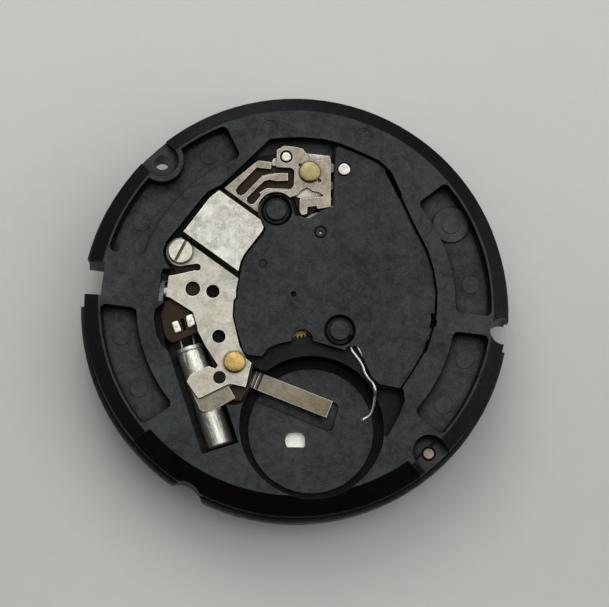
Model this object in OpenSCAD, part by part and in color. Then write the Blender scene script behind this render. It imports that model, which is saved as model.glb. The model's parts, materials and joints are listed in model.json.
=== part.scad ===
// Quartz watch movement without its cell and stem, modelled in millimetres.
// The origin is on the hands' axis at the dial seat. +Z points to the battery side,
// the stem leaves along -X, and twelve o'clock lies along +Y.

/* [Main plate] */
// Diameter over the flange that the watch case holds
flange_d = 20.86; // [20.6:0.02:21.4]
// Thickness of the flange
flange_h = 0.8; // [0.6:0.05:1]
// Diameter of the rim above the flange
rim_d = 20.44; // [20.2:0.02:20.56]
// Height of the rim's flat top above the dial seat
rim_h = 2.6; // [2.5:0.05:2.8]
// Width of the sloped band round the rim's top
bevel_w = 0.67; // [0.4:0.01:0.7]
// Drop of the sloped band from the flat top to the rim's edge
bevel_drop = 0.3; // [0.1:0.05:0.5]
// Floor of the train space above the dial seat
train_floor_z = 0.95; // [0.9:0.01:0.96]
// Roof of the dial side chamber above the dial seat
web_z = 0.5; // [0.5:0.01:0.6]

/* [Rim pockets] */
// Inner radius of the four pockets
pocket_in_r = 7.7; // [7.6:0.05:7.9]
// Outer radius of the four pockets
pocket_out_r = 9.45; // [9:0.05:9.5]
// Depth of the pockets
pocket_depth = 0.85; // [0.4:0.05:1.2]
// Diameter of the round ejector marks on the pocket floors
mark_d = 0.86; // [0.5:0.02:1]
// Height of the round marks
mark_h = 0.04; // [0.02:0.01:0.1]

/* [Rim notches and holes] */
// Distance of the stem notch's flat wall from the hands' axis
notch_x = 9.4; // [9.2:0.05:9.6]
// Width of the stem notch in the rim
notch_w = 1.6; // [1.3:0.05:1.9]
// Width of the stem notch in the flange
notch_flange_w = 2.4; // [2.2:0.05:2.8]
// Radius of the round locating notch opposite the stem
key_r = 0.63; // [0.4:0.01:0.8]
// Distance of the locating notch's centre from the hands' axis
key_x = 10.08; // [10:0.02:10.3]
// Distance of the two dial foot holes from the hands' axis
foot_r = 9.6; // [9.5:0.02:9.7]
// Direction of the open dial foot hole, in degrees from +X
foot_angle = 140; // [138:0.5:142]
// Diameter of the dial foot holes
foot_hole_d = 0.72; // [0.5:0.02:0.8]
// Diameter of the steel dowel in the second hole
dowel_d = 0.54; // [0.4:0.02:0.6]

/* [Stem way] */
// Height of the stem's axis above the dial seat
stem_z = 1.05; // [1:0.01:1.1]
// Diameter of the stem bore
stem_bore_d = 1; // [0.8:0.02:1.04]

/* [Battery well] */
// Well centre from the hands' axis along X
well_x = 1.5; // [1.4:0.02:1.6]
// Well centre from the hands' axis along Y
well_y = -5.8; // [-5.9:0.02:-5.7]
// Diameter of the well's wall
well_d = 7; // [6.9:0.02:7.1]
// Height of the well's floor above the dial seat
well_floor_z = 0.7; // [0.65:0.01:0.9]
// Diameter of the raised disc that forms the floor
well_disc_d = 6.06; // [5.6:0.02:6.4]
// Depth of the ring groove round the floor disc
well_groove = 0.25; // [0.1:0.01:0.3]
// Diameter of the hole through the floor
peep_d = 1.02; // [0.8:0.02:1.2]
// Distance across the flats of that hole
peep_flats = 0.78; // [0.6:0.02:0.8]

/* [Train bridge] */
// Height of the bridge's underside above the dial seat
bridge_z = 2; // [1.98:0.01:2.04]
// Thickness of the bridge
bridge_t = 0.35; // [0.3:0.01:0.4]
// Gap between the bridge's edge and the main plate
bridge_gap = 0.1; // [0.06:0.01:0.16]
// Diameter of the staked post heads
stake_head_d = 0.94; // [0.86:0.02:1.1]
// Diameter of the counterbores round the staked heads
stake_bore_d = 1.3; // [1.2:0.02:1.4]
// Diameter of the posts below the heads
stake_post_d = 0.6; // [0.5:0.02:0.64]

/* [Circuit board] */
// Height of the board's underside above the dial seat
board_z = 1.85; // [1.83:0.01:1.88]
// Thickness of the board
board_t = 0.2; // [0.18:0.01:0.22]
// Side of the square chip under the raised cover
chip_w = 1.5; // [1:0.05:1.7]
// Height of the chip
chip_h = 0.3; // [0.2:0.02:0.32]

/* [Crystal] */
// Diameter of the quartz crystal's can
can_d = 1.3; // [1.2:0.02:1.3]
// Length of the can
can_l = 5.1; // [4.6:0.05:5.2]
// Height of the can's axis above the dial seat
can_z = 1.38; // [1.36:0.01:1.38]
// Direction of the can from its leads, in degrees from +X
can_angle = -64.5; // [-66:0.5:-63]
// Diameter of the crystal's leads
lead_d = 0.15; // [0.1:0.01:0.18]

/* [Steel sheets] */
// Thickness of the cover sheet
cover_t = 0.12; // [0.08:0.01:0.15]
// Step up to the raised middle of the cover
cover_rise = 0.25; // [0.24:0.01:0.35]
// Thickness of the contact sheets
contact_t = 0.1; // [0.08:0.01:0.12]
// Height of the battery contact arm above the well's floor
arm_gap = 0.45; // [0.3:0.01:0.55]
// Width of the battery contact arm
arm_w = 0.86; // [0.6:0.02:0.9]
// Diameter of the wire of the side contact spring
wire_d = 0.15; // [0.1:0.01:0.18]

/* [Screw and studs] */
// Diameter of the cover screw's head
screw_head_d = 1.14; // [0.9:0.02:1.2]
// Height of the cover screw's head
screw_head_h = 0.28; // [0.2:0.02:0.35]
// Diameter of the cover screw's shank
screw_shank_d = 0.56; // [0.4:0.02:0.6]
// Diameter of the brass studs' heads
stud_head_d = 1.04; // [0.8:0.02:1.1]
// Height of the brass studs' heads
stud_head_h = 0.22; // [0.15:0.01:0.3]
// Diameter of the brass studs' shanks
stud_shank_d = 0.5; // [0.4:0.02:0.56]
// Diameter of the pin at the cover's upper end
pin_d = 0.48; // [0.4:0.02:0.52]
// Diameter of the pin at the bridge's upper end
bridge_pin_d = 0.6; // [0.5:0.02:0.64]

/* [Motor] */
// Rotor centre from the hands' axis along X
rotor_x = 0.73; // [0.72:0.01:0.74]
// Rotor centre from the hands' axis along Y
rotor_y = 3.7; // [3.69:0.01:3.71]
// Diameter of the rotor's magnet
magnet_d = 1.2; // [0.9:0.02:1.24]
// Thickness of the rotor's magnet
magnet_h = 0.34; // [0.2:0.01:0.36]
// Diameter of the stator's rotor hole
stator_hole_d = 1.5; // [1.4:0.02:1.54]
// Thickness of the stator sheet
stator_t = 0.25; // [0.15:0.01:0.26]
// Diameter of the coil's winding
coil_d = 1.6; // [1.4:0.02:1.62]
// Length of the coil's winding
coil_l = 4.6; // [4.2:0.05:4.7]
// Width of the coil's core
core_w = 0.8; // [0.6:0.02:0.9]
// Thickness of the coil's core
core_t = 0.45; // [0.3:0.01:0.5]

/* [Train] */
// Distance from the hands' axis to the fifth wheel
fifth_reach = 2; // [1.995:0.001:2.005]
// Distance from the rotor to the fifth wheel
motor_reach = 1.785; // [1.78:0.001:1.79]
// Distance from the hands' axis to the third wheel
third_reach = 1.7; // [1.69:0.005:1.71]
// Direction of the third wheel, in degrees from +X
third_angle = 135; // [134:0.5:136]
// Thickness of the brass train wheels
wheel_t = 0.1; // [0.08:0.01:0.1]
// Diameter of the train's arbors
arbor_d = 0.18; // [0.16:0.01:0.2]
// Diameter of the train's pivots
pivot_d = 0.12; // [0.1:0.01:0.14]

/* [Hands and motion work] */
// Diameter of the hour hand's seat
hour_seat_d = 1.5; // [1.4:0.02:1.6]
// Diameter of the minute hand's seat
minute_seat_d = 0.8; // [0.74:0.02:0.82]
// Diameter of the seconds hand's seat
seconds_seat_d = 0.2; // [0.16:0.01:0.22]
// Reach of the hour seat below the dial seat
hour_reach = 1; // [0.8:0.05:1.1]
// Reach of the minute seat below the dial seat
minute_reach = 1.4; // [1.3:0.05:1.5]
// Reach of the seconds seat below the dial seat
seconds_reach = 1.75; // [1.65:0.05:1.9]
// Direction of the minute wheel, in degrees from +X
minute_angle = 150; // [149:0.5:152]
// Module of the cannon pinion and the minute wheel
motion_module = 0.1; // [0.098:0.001:0.1]

/* [Setting parts] */
// Thickness of the setting lever and the yoke
lever_t = 0.14; // [0.1:0.01:0.14]
// Diameter of the sliding clutch wheel
clutch_d = 1; // [0.9:0.02:1]
// Length of the sliding clutch wheel
clutch_l = 1.2; // [1:0.05:1.25]
// Width of the clutch wheel's groove
groove_w = 0.4; // [0.34:0.01:0.44]
// Thickness of the dial side cover
dial_cover_t = 0.12; // [0.08:0.01:0.13]
// Diameter of the dial side cover
dial_cover_d = 15.7; // [15.6:0.02:15.8]

/* [Fits] */
// Radial clearance of a running pivot
run_gap = 0.02; // [0.01:0.005:0.03]
// Clearance beside a part that only drops into place
drop_gap = 0.05; // [0.03:0.01:0.06]
// Clearance round the teeth of a turning wheel
wheel_gap = 0.08; // [0.05:0.01:0.1]
// End shake of an arbor between its bearings
end_shake = 0.02; // [0.01:0.005:0.03]

/* [Hidden] */

$fn = 64;
big_fn = 128;
over = 1;
eps = 0.01;

plastic = [0.13, 0.14, 0.15];
plate_steel = [0.78, 0.76, 0.7];
pin_steel = [0.82, 0.82, 0.8];
brass = [0.78, 0.66, 0.32];

origin = [0, 0];
rotor_pos = [rotor_x, rotor_y];
well_pos = [well_x, well_y];
pocket_z = rim_h - pocket_depth;
// The sheets lie on the board and on each other
contact_z = board_z + board_t;
cover_z = contact_z + contact_t;
mark_ring_r = (pocket_in_r + pocket_out_r) / 2;
cut_h = rim_h + over;

// Polar and linear helpers
function polar(r, a) = [r * cos(a), r * sin(a)];
function arc(c, r, a1, a2, n = 8) = [for (i = [0:n]) c + polar(r, a1 + (a2 - a1) * i / n)];
function turned(p, a) = [p.x * cos(a) - p.y * sin(a), p.x * sin(a) + p.y * cos(a)];
function toward(a, b) = atan2(b.y - a.y, b.x - a.x);

// Where two circles round a and b cross, on the right of the line from a to b
function crossing(a, ra, b, rb) =
    let (d = norm(b - a), u = (b - a) / d, s = (ra * ra - rb * rb + d * d) / (2 * d))
    a + s * u + sqrt(ra * ra - s * s) * [u.y, -u.x];

// Outline moved outwards by d, for corners listed anticlockwise
function grown(p, d) = [
    for (i = [0:len(p) - 1])
        let (
            e1 = p[i] - p[(i + len(p) - 1) % len(p)],
            e2 = p[(i + 1) % len(p)] - p[i],
            n1 = [e1.y, -e1.x] / norm(e1),
            n2 = [e2.y, -e2.x] / norm(e2)
        )
        p[i] + d * (n1 + n2) / (1 + n1 * n2)
];

// Teeth counts, from the rotor to the hands
rotor_teeth = 6;
fifth_teeth = 60;
fifth_leaves = 16;
seconds_teeth = 48;
seconds_leaves = 8;
third_teeth = 60;
third_leaves = 8;
centre_teeth = 64;
cannon_teeth = 12;
minute_teeth = 36;
minute_leaves = 10;
hour_teeth = 40;
setting_teeth = 15;

// Modules that follow from the centre distances
motor_module = 2 * motor_reach / (rotor_teeth + fifth_teeth);
seconds_module = 2 * fifth_reach / (fifth_leaves + seconds_teeth);
third_module = 2 * third_reach / (seconds_leaves + third_teeth);
centre_module = 2 * third_reach / (third_leaves + centre_teeth);
minute_reach_xy = motion_module * (cannon_teeth + minute_teeth) / 2;
hour_module = 2 * minute_reach_xy / (minute_leaves + hour_teeth);
setting_reach = motion_module * (minute_teeth + setting_teeth) / 2;

fifth_pos = crossing(origin, fifth_reach, rotor_pos, motor_reach);
third_pos = polar(third_reach, third_angle);
minute_pos = polar(minute_reach_xy, minute_angle);
setting_pos = [minute_pos.x - sqrt(setting_reach * setting_reach - minute_pos.y * minute_pos.y), 0];

// Heights of the wheels and pinions
centre_wheel_z = train_floor_z + 0.07;
third_pinion_z = train_floor_z + 0.04;
third_pinion_h = 0.21;
fifth_wheel_z = train_floor_z + 0.29;
rotor_pinion_z = train_floor_z + 0.23;
rotor_pinion_h = 0.2;
third_wheel_z = train_floor_z + 0.49;
seconds_pinion_z = train_floor_z + 0.45;
seconds_pinion_h = 0.2;
stator_z = train_floor_z + 0.55;
magnet_z = train_floor_z + 0.5;
fifth_pinion_z = train_floor_z + 0.65;
fifth_pinion_h = 0.22;
seconds_wheel_z = train_floor_z + 0.71;

// Tooth shape as shares of the module and of the tooth pitch
addendum = 0.9;
dedendum = 1.2;
tip_share = 0.13;
root_share = 0.3;

function tip_r(teeth, module_) = module_ * (teeth / 2 + addendum);
function root_r(teeth, module_) = module_ * (teeth / 2 - dedendum);
function gear_points(teeth, module_) = [
    for (i = [0:teeth - 1])
        for (c = [[-root_share, 0], [-tip_share, 1], [tip_share, 1], [root_share, 0]])
            polar(c[1] > 0 ? tip_r(teeth, module_) : root_r(teeth, module_), 360 * (i + c[0]) / teeth)
];

// A gear with one tooth pointing along the angle face, or one gap if gap is true
module gear(teeth, module_, h, face = 0, gap = false)
    linear_extrude(h)
        rotate(face + (gap ? 180 / teeth : 0))
            polygon(gear_points(teeth, module_));

// Windows between the spokes of a wheel
module spoke_windows(r1, r2, count, spoke_w, h)
    for (i = [0:count - 1])
        rotate(360 * i / count)
            linear_extrude(h)
                polygon(concat(
                    arc(origin, r1, spoke_side(r1, spoke_w), 360 / count - spoke_side(r1, spoke_w), 6),
                    arc(origin, r2, 360 / count - spoke_side(r2, spoke_w), spoke_side(r2, spoke_w), 10)
                ));
function spoke_side(r, w) = asin(w / 2 / r);

module at(p, z = 0)
    translate([p.x, p.y, z])
        children();

// Arbor with a pivot at each end, between the main plate and the bridge
module arbor(z1, z2, top_pivot = 0.15, low_pivot = 0.2) {
    translate([0, 0, z1])
        cylinder(h = z2 - z1, d = arbor_d);
    translate([0, 0, z1 - low_pivot])
        cylinder(h = low_pivot, d = pivot_d);
    translate([0, 0, z2])
        cylinder(h = top_pivot, d = pivot_d);
}
arbor_z1 = train_floor_z + end_shake;
arbor_z2 = bridge_z - end_shake;
pivot_hole = 0.24;

// The opening inside the rim, anticlockwise from the upper left
recess_right = [
    [5.56, -3.45], [5.9, -2.8], [6.3, -1.9], [6.6, -1.15], [6.75, -0.35], [6.8, 0.4], [6.7, 1.5], [6.42, 2.5],
    [6, 3.45], [5.25, 4.55], [4.35, 6], [3.78, 6.98], [3.5, 7.28], [3.1, 7.55], [2.15, 7.86], [1.1, 8.15],
    [0.35, 8.25], [-0.85, 8.2], [-2.28, 7.92]
];
recess_left = [
    [-4.3, 5.38], [-4.95, 4.9], [-5.26, 4.45], [-6.06, 3.1], [-6.62, 2.2], [-6.72, 1.7], [-6.52, 1.2],
    [-6.25, 0.92], [-6.62, 0.88], [-6.57, -0.55], [-6.25, -0.66], [-6.72, -1.15], [-6.72, -1.6], [-6.48, -2.4],
    [-6.15, -2.88], [-5.75, -3.15]
];
recess_low = [
    [-5, -3.6], [-3.1, -5.3], [-2.3, -5.3], [-1.9, -5.1], [-1.2, -4.3], [1.5, -3.6], [3.9, -3.7], [4.45, -3.5]
];
// The bridge's free edge, from its upper left corner down to the wire spring
bridge_left = [
    [0.96, 7.9], [1.18, 5.02], [0.6, 4.72], [0.1, 4.3], [-0.6, 4.35], [-0.9, 5.05], [-1.5, 5.3], [-2.1, 5.1],
    [-2.42, 4.6], [-2.36, 4.1], [-2.2, 3.95], [-1.92, 3.5], [-1.98, 3.28], [-2.7, 2.1], [-2.84, 1.6],
    [-2.88, 0.3], [-2.84, -0.05], [-2.94, -0.25], [-2.88, -0.98], [-2.55, -1.88], [-2.2, -2.62], [-1.95, -2.75],
    [-1.32, -2.72], [-1.08, -2.3], [-0.55, -1.98], [-0.02, -1.8]
];
bridge_right = [
    [1.05, -1.65], [2.62, -1.9], [2.75, -1.7], [3.3, -1.62], [3.55, -2.2], [4.1, -3.08], [4.5, -3.34]
];
bay_inner = [
    [-1.3, -4.3], [-1.6, -3.5], [-1.75, -2.98], [-2, -2.85], [-2.3, -2.7], [-2.62, -1.9], [-2.95, -0.98],
    [-3, -0.25], [-2.92, 0.3], [-2.92, 1.6], [-2.78, 2.15], [-2.06, 3.3], [-2.02, 3.55], [-2.3, 4],
    [-2.5, 4.6], [-2.2, 5.18], [-1.5, 5.42], [-0.8, 5.2], [-0.45, 4.45], [0.1, 4.42], [0.5, 4.8], [1.1, 5.12],
    [0.88, 7.9], [0.85, 8.2]
];
recess_edge = concat(recess_right, recess_left, recess_low);
recess_gaps = [
    [[3.45, 7.1], [3.62, 7.2], [3.84, 6.98], [4.44, 5.98], [4.3, 5.84], [3.9, 6.44]],
    [[6.52, 0.46], [6.7, 0.4], [6.84, 0.02], [6.84, -0.2], [6.64, -0.36], [6.53, -0.26], [6.56, 0.1]],
    [[6.47, -0.85], [6.62, -0.95], [6.56, -1.4], [6.46, -1.62], [6.34, -1.5], [6.42, -1.2]]
];
bridge_rim = [for (i = [0:15]) recess_right[i]];
bridge_edge = concat(grown_open(bridge_rim, -bridge_gap), bridge_left, bridge_right);
bay_edge = concat([[-0.85, 8.2], [-2.28, 7.92]], recess_left, [for (i = [0:4]) recess_low[i]], bay_inner);

// An open run of corners moved outwards by d
function grown_open(p, d) =
    let (n = len(p), g = grown(p, d))
    [for (i = [0:n - 1])
        i > 0 && i < n - 1 ? g[i] :
        let (e = i == 0 ? p[1] - p[0] : p[n - 1] - p[n - 2])
        p[i] + d * [e.y, -e.x] / norm(e)];

stake_pos = [[-1.53, 4.49], [2.26, -0.97]];
screw_pos = [-5.87, 1.85];
stud_pos = [[-0.16, 6.6], [-2.59, -3.17]];
pin_pos = [-1.39, 7.21];
bridge_pin_pos = [1.49, 6.94];
foot_pos = polar(foot_r, foot_angle);
dowel_pos = polar(foot_r, foot_angle - 181);

// Crystal frame: x runs along the can from the middle of its leads' end
can_pos = [-4.89, -2.61];
module crystal_frame(z = can_z)
    at(can_pos, z)
        rotate(can_angle)
            children();
can_side_gap = 0.4;
can_end_gap = 0.2;

// Coil frame: y runs along the coil from its middle
coil_pos = [4.5, 2.15];
coil_angle = 15;
coil_z = stator_z - core_t / 2;
coil_tab = 3.9;
coil_tab_w = 1.1;
coil_gap = drop_gap + 0.02;
module coil_frame(z = 0)
    at(coil_pos, z)
        rotate(coil_angle)
            children();
function coil_point(x, y) = coil_pos + turned([x, y], coil_angle);

// Battery contact frame: x runs along the arm from the bend at the well's wall
arm_pos = [-1.44, -3.76];
arm_angle = -14.5;
arm_l = 3.82;
arm_z = well_floor_z + arm_gap;
module arm_frame()
    at(arm_pos)
        rotate(arm_angle)
            children();

// Setting parts
tunnel_end_x = -6.65;
clutch_x = -5.85;
lever_z = 0.2;
lever_pos = [-6.6, -1.5];
yoke_pos = [-5.1, -4];
lever_tab_x = -7.1;
tab_t = 0.16;
tab_w = 0.5;
post_d = 0.44;
small_post_d = 0.36;
dial_cover_z = 0.05;
setting_wheel_z = 0.34;
setting_wheel_h = web_z - setting_wheel_z - 0.04;
minute_wheel_z = 0.36;
minute_wheel_h = 0.1;
hour_wheel_z = 0.2;
hour_wheel_h = 0.1;
lever_bay = [
    [-7.72, -0.9], [-7.3, -2.3], [-6.7, -2.9], [-6, -3.9], [-5.75, -4.5], [-5.1, -4.8], [-4.45, -4.5],
    [-4.3, -3.6], [-4.6, -1.6], [-4.9, 0.6], [-7.72, 0.6]
];
lever_edge = [
    [-7.32, -0.7], [-7.12, -1.6], [-6.85, -1.98], [-6.35, -2.35], [-5.98, -2.42], [-5.8, -2.25], [-5.86, -2.05],
    [-6.2, -1.85], [-6.15, -1.35], [-6.45, -1.05], [-6.9, -0.55], [-6.88, 0.33], [-7.32, 0.33]
];
yoke_edge = [
    [-5.55, -4.1], [-5.38, -4.38], [-5.1, -4.5], [-4.78, -4.35], [-4.62, -4.05], [-4.75, -3.5], [-5.2, -2.3],
    [-5.55, -0.9], [-5.68, 0.3], [-6.02, 0.3], [-6, -0.9], [-5.72, -2.3], [-5.5, -3.5]
];
stake_ring = [for (a = [72, 222, 330]) polar(6.9, a)];

// Fillet in the corner between a pocket's end wall, which runs from a to b, and its inner or outer wall
module pocket_corner(a, b, side, outer) {
    d = (b - a) / norm(b - a);
    n = side * [-d.y, d.x];
    h = a * n;
    wall_r = outer ? pocket_out_r : pocket_in_r;
    k = wall_r + (outer ? -1 : 1) * pocket_fillet;
    c = n * (h + pocket_fillet) + d * sqrt(k * k - pow(h + pocket_fillet, 2));
    beyond = n * (h - 0.2) + d * (sqrt(wall_r * wall_r - h * h) + (outer ? 0.2 : -0.2));
    out = c * wall_r / k - c;
    a1 = atan2(-n.y, -n.x);
    turn = (atan2(out.y, out.x) - a1 + 900) % 360 - 180;
    polygon(concat([beyond], [for (i = [0:6]) c + polar(pocket_fillet, a1 + turn * i / 6)]));
}

// One pocket in the rim between two end walls; the wedge runs counterclockwise
module pocket(wedge)
    translate([0, 0, pocket_z])
        linear_extrude(cut_h)
            difference() {
                intersection() {
                    difference() {
                        circle(pocket_out_r, $fn = big_fn);
                        circle(pocket_in_r, $fn = big_fn);
                    }
                    polygon(wedge);
                }
                for (outer = [false, true]) {
                    pocket_corner(wedge[0], wedge[1], 1, outer);
                    pocket_corner(wedge[0], wedge[3], -1, outer);
                }
            }

pocket_fillet = 0.28;
pocket_far = 14;
pocket_upper_a = 120;
pocket_right_a = 46;
pocket_low_right_a = -34.6;
pocket_low_left_a = 224.2;
stem_bar_top = 1.4;
stem_bar_low = -1.2;
key_bar_top = 0.6;
key_bar_low = -0.34;
ear_r = 1.06;

module pockets() {
    difference() {
        pocket([[0, stem_bar_top], polar(pocket_far, pocket_upper_a), polar(pocket_far, 150), [-pocket_far, stem_bar_top]]);
        at(foot_pos)
            cylinder(h = cut_h, r = ear_r);
    }
    pocket([[0, key_bar_top], [pocket_far, key_bar_top], polar(pocket_far, 25), polar(pocket_far, pocket_right_a)]);
    pocket([[0, key_bar_low], polar(pocket_far, pocket_low_right_a), polar(pocket_far, -15), [pocket_far, key_bar_low]]);
    pocket([[0, stem_bar_low], [-pocket_far, stem_bar_low], polar(pocket_far, 200), polar(pocket_far, pocket_low_left_a)]);
}

edge_bevel_r = 9.3;
edge_bevel_h = 0.95;

// Wider bevel along the well's side of the rim
module edge_bevel() {
    r = rim_d / 2 + 0.05;
    slope = (r - edge_bevel_r) / edge_bevel_h;
    translate([0, 0, rim_h - edge_bevel_h])
        intersection() {
            difference() {
                cylinder(h = edge_bevel_h + over, d = flange_d + 2, $fn = big_fn);
                translate([0, 0, -eps])
                    cylinder(h = edge_bevel_h + 2 * over, r1 = r + slope * eps,
                        r2 = r - slope * (edge_bevel_h + 2 * over - eps), $fn = big_fn);
            }
            translate([0, 0, -over])
                linear_extrude(cut_h)
                    polygon([polar(2, 270), polar(15, 224.8), polar(20, 270), polar(15, 316)]);
        }
}

module ejector_marks() {
    for (a = [126.7, 158.4, 14.7, -10.2, -26.7, 197.2, 215.2])
        at(polar(mark_ring_r, a), pocket_z - eps)
            cylinder(h = mark_h + eps, d = mark_d);
    at(polar(mark_ring_r, 35.5), pocket_z - eps) {
        cylinder(h = 3 * mark_h + eps, d = 2 * mark_d);
        cylinder(h = 4 * mark_h + eps, d = mark_d);
    }
}

module rim_body() {
    cylinder(h = flange_h, d = flange_d, $fn = big_fn);
    cylinder(h = rim_h - bevel_drop, d = rim_d, $fn = big_fn);
    translate([0, 0, rim_h - bevel_drop])
        cylinder(h = bevel_drop, d1 = rim_d, d2 = rim_d - 2 * bevel_w, $fn = big_fn);
}

module rim_notches() {
    translate([-flange_d, -notch_w / 2, -over])
        cube([flange_d - notch_x, notch_w, cut_h + over]);
    translate([-flange_d, -notch_flange_w / 2, -over])
        cube([flange_d - rim_d / 2, notch_flange_w, over + flange_h]);
    translate([key_x, 0, -over])
        cylinder(h = cut_h + over, r = key_r);
    translate([rim_d / 2, -1.2 * key_r, -over])
        cube([flange_d, 2.4 * key_r, over + flange_h]);
    at(polar(flange_d / 2 + 0.75, 247), -over)
        cylinder(h = cut_h + over, r = 1.15);
}

module well_cut() {
    at(well_pos, well_floor_z)
        cylinder(h = cut_h, d = well_d, $fn = big_fn);
    at(well_pos, well_floor_z - well_groove)
        difference() {
            cylinder(h = cut_h, d = well_d, $fn = big_fn);
            translate([0, 0, -over])
                cylinder(h = cut_h + 2 * over, d = well_disc_d, $fn = big_fn);
        }
    // Hole with two flats through the floor
    at([0.83, -6.35], -over)
        intersection() {
            cylinder(h = cut_h, d = peep_d);
            translate([-peep_d / 2, -peep_flats / 2, 0])
                rotate(7)
                    cube([peep_d, peep_flats, cut_h]);
        }
    // Relief that lets the contact arm bend flat under the cell
    arm_frame()
        translate([0.55, -1, well_floor_z - 0.2])
            linear_extrude(cut_h)
                polygon(concat(arc([3.5, 0.3], 0.25, 0, -90, 4), [[-0.2, 0.1], [-0.2, 1.5]], arc([3.4, 1.25], 0.25, 90, 0, 4)));
    // Way for the contact arm through the well's wall
    arm_frame()
        translate([-0.75, -arm_w / 2 - drop_gap, arm_z - 0.15])
            cube([1.6, arm_w + 2 * drop_gap, cut_h]);
    // Side pocket to the right of the well
    translate([0, 0, board_z - 0.3])
        linear_extrude(cut_h)
            polygon([[4, -5.9], [5.15, -5.85], [5.6, -4.75], [5.77, -4], [5.63, -3.45], [4, -3.45]]);
}

module train_cut() {
    h = bridge_z + over - train_floor_z;
    at(origin, train_floor_z)
        cylinder(h = h, r = max(tip_r(seconds_teeth, seconds_module), tip_r(centre_teeth, centre_module)) + wheel_gap);
    at(fifth_pos, train_floor_z)
        cylinder(h = h, r = tip_r(fifth_teeth, motor_module) + wheel_gap);
    at(third_pos, train_floor_z)
        cylinder(h = h, r = tip_r(third_teeth, third_module) + wheel_gap);
    at(rotor_pos, train_floor_z)
        cylinder(h = h, d = stator_hole_d);
    // Seat of the stator
    translate([0, 0, stator_z])
        stator_shape(h, drop_gap);
    // Room for the coil and its core
    coil_frame(coil_z - coil_d / 2 - coil_gap)
        translate([-coil_d / 2 - coil_gap, -coil_l / 2 - coil_gap, 0])
            cube([coil_d + 2 * coil_gap, coil_l + 2 * coil_gap, cut_h]);
    coil_frame(coil_z - core_t / 2)
        translate([-coil_tab_w / 2 - coil_gap, -coil_tab - coil_gap, 0])
            cube([coil_tab_w + 2 * coil_gap, 2 * (coil_tab + coil_gap), cut_h]);
    // Blind bearings of the arbors, and the centre wheel's bearing
    for (p = [rotor_pos, fifth_pos, third_pos])
        at(p, train_floor_z - pivot_hole)
            cylinder(h = pivot_hole + over, r = pivot_d / 2 + run_gap, $fn = 32);
    at(origin, 0)
        cylinder(h = cut_h, r = centre_tube_d / 2 + run_gap);
}

module dial_side_cut() {
    at(origin, -over)
        cylinder(h = over + dial_cover_z + dial_cover_t, d = dial_cover_d + 2 * drop_gap, $fn = big_fn);
    at(origin, -over)
        cylinder(h = over + web_z, r = tip_r(hour_teeth, hour_module) + wheel_gap);
    at(minute_pos, -over)
        cylinder(h = over + web_z, r = tip_r(minute_teeth, motion_module) + wheel_gap);
    at(setting_pos, -over)
        cylinder(h = over + web_z, r = tip_r(setting_teeth, motion_module) + wheel_gap);
    translate([0, 0, -over])
        linear_extrude(over + web_z)
            polygon(lever_bay);
    // Chamber of the clutch wheel, open to both sides
    translate([tunnel_end_x, -0.72, 0])
        cube([1.85, 1.44, board_z + over]);
    // Slot for the setting lever's tab
    translate([lever_tab_x - 0.5, -stem_bore_d / 2 - 0.06, 0])
        cube([tunnel_end_x - lever_tab_x + 0.5 + eps, stem_bore_d + 0.12, stem_z + stem_bore_d / 2 + 0.05]);
    translate([-flange_d, 0, stem_z])
        rotate([0, 90, 0])
            cylinder(h = flange_d + tunnel_end_x + eps, d = stem_bore_d);
}

module fastener_holes() {
    for (p = concat([screw_pos], stud_pos))
        at(p, 1)
            cylinder(h = cut_h, d = p == screw_pos ? screw_shank_d : stud_shank_d);
    at(pin_pos, 1)
        cylinder(h = cut_h, d = pin_d);
    at(bridge_pin_pos, 1)
        cylinder(h = cut_h, d = bridge_pin_d);
    at(foot_pos, -over)
        cylinder(h = cut_h + over, d = foot_hole_d);
    at(foot_pos, rim_h - foot_recess)
        open_recess(foot_angle);
    at(dowel_pos, -over)
        cylinder(h = cut_h + over, d = dowel_d);
    at(dowel_pos, pocket_z - 0.15)
        cylinder(h = cut_h, d = foot_hole_d);
    at(dowel_pos, pocket_z)
        open_recess(foot_angle - 181);
    for (p = [[2.21, 8.65], [-2.35, 8.44]])
        at(p, rim_h - mark_h)
            cylinder(h = cut_h, d = 0.82);
}

foot_recess = 0.6;

// Round recess at a dial foot, open to the rim's edge
module open_recess(a) {
    cylinder(h = cut_h, d = 1.64);
    rotate(a)
        translate([0, -0.8, 0])
            cube([3, 1.6, cut_h]);
}

module plate_posts() {
    // Posts that hold the bridge, staked over in its counterbores
    for (p = stake_pos)
        at(p, train_floor_z - eps) {
            cylinder(h = bridge_z + bridge_t - train_floor_z, d = stake_post_d);
            translate([0, 0, bridge_z + bridge_t / 2 - train_floor_z])
                cylinder(h = bridge_t / 2 + 0.06, d = stake_head_d);
        }
    // Dial side posts for the wheels and levers, and the stakes of the dial side cover
    for (p = [lever_pos, yoke_pos])
        at(p, dial_cover_z + dial_cover_t + end_shake)
            cylinder(h = web_z - dial_cover_z - dial_cover_t, d = post_d);
    for (p = [minute_pos, setting_pos])
        at(p, dial_cover_z + dial_cover_t + end_shake)
            cylinder(h = web_z - dial_cover_z - dial_cover_t, d = small_post_d);
    for (p = stake_ring)
        at(p, dial_cover_z / 2)
            cylinder(h = dial_cover_t + dial_cover_z, d = small_post_d);
}

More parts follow.
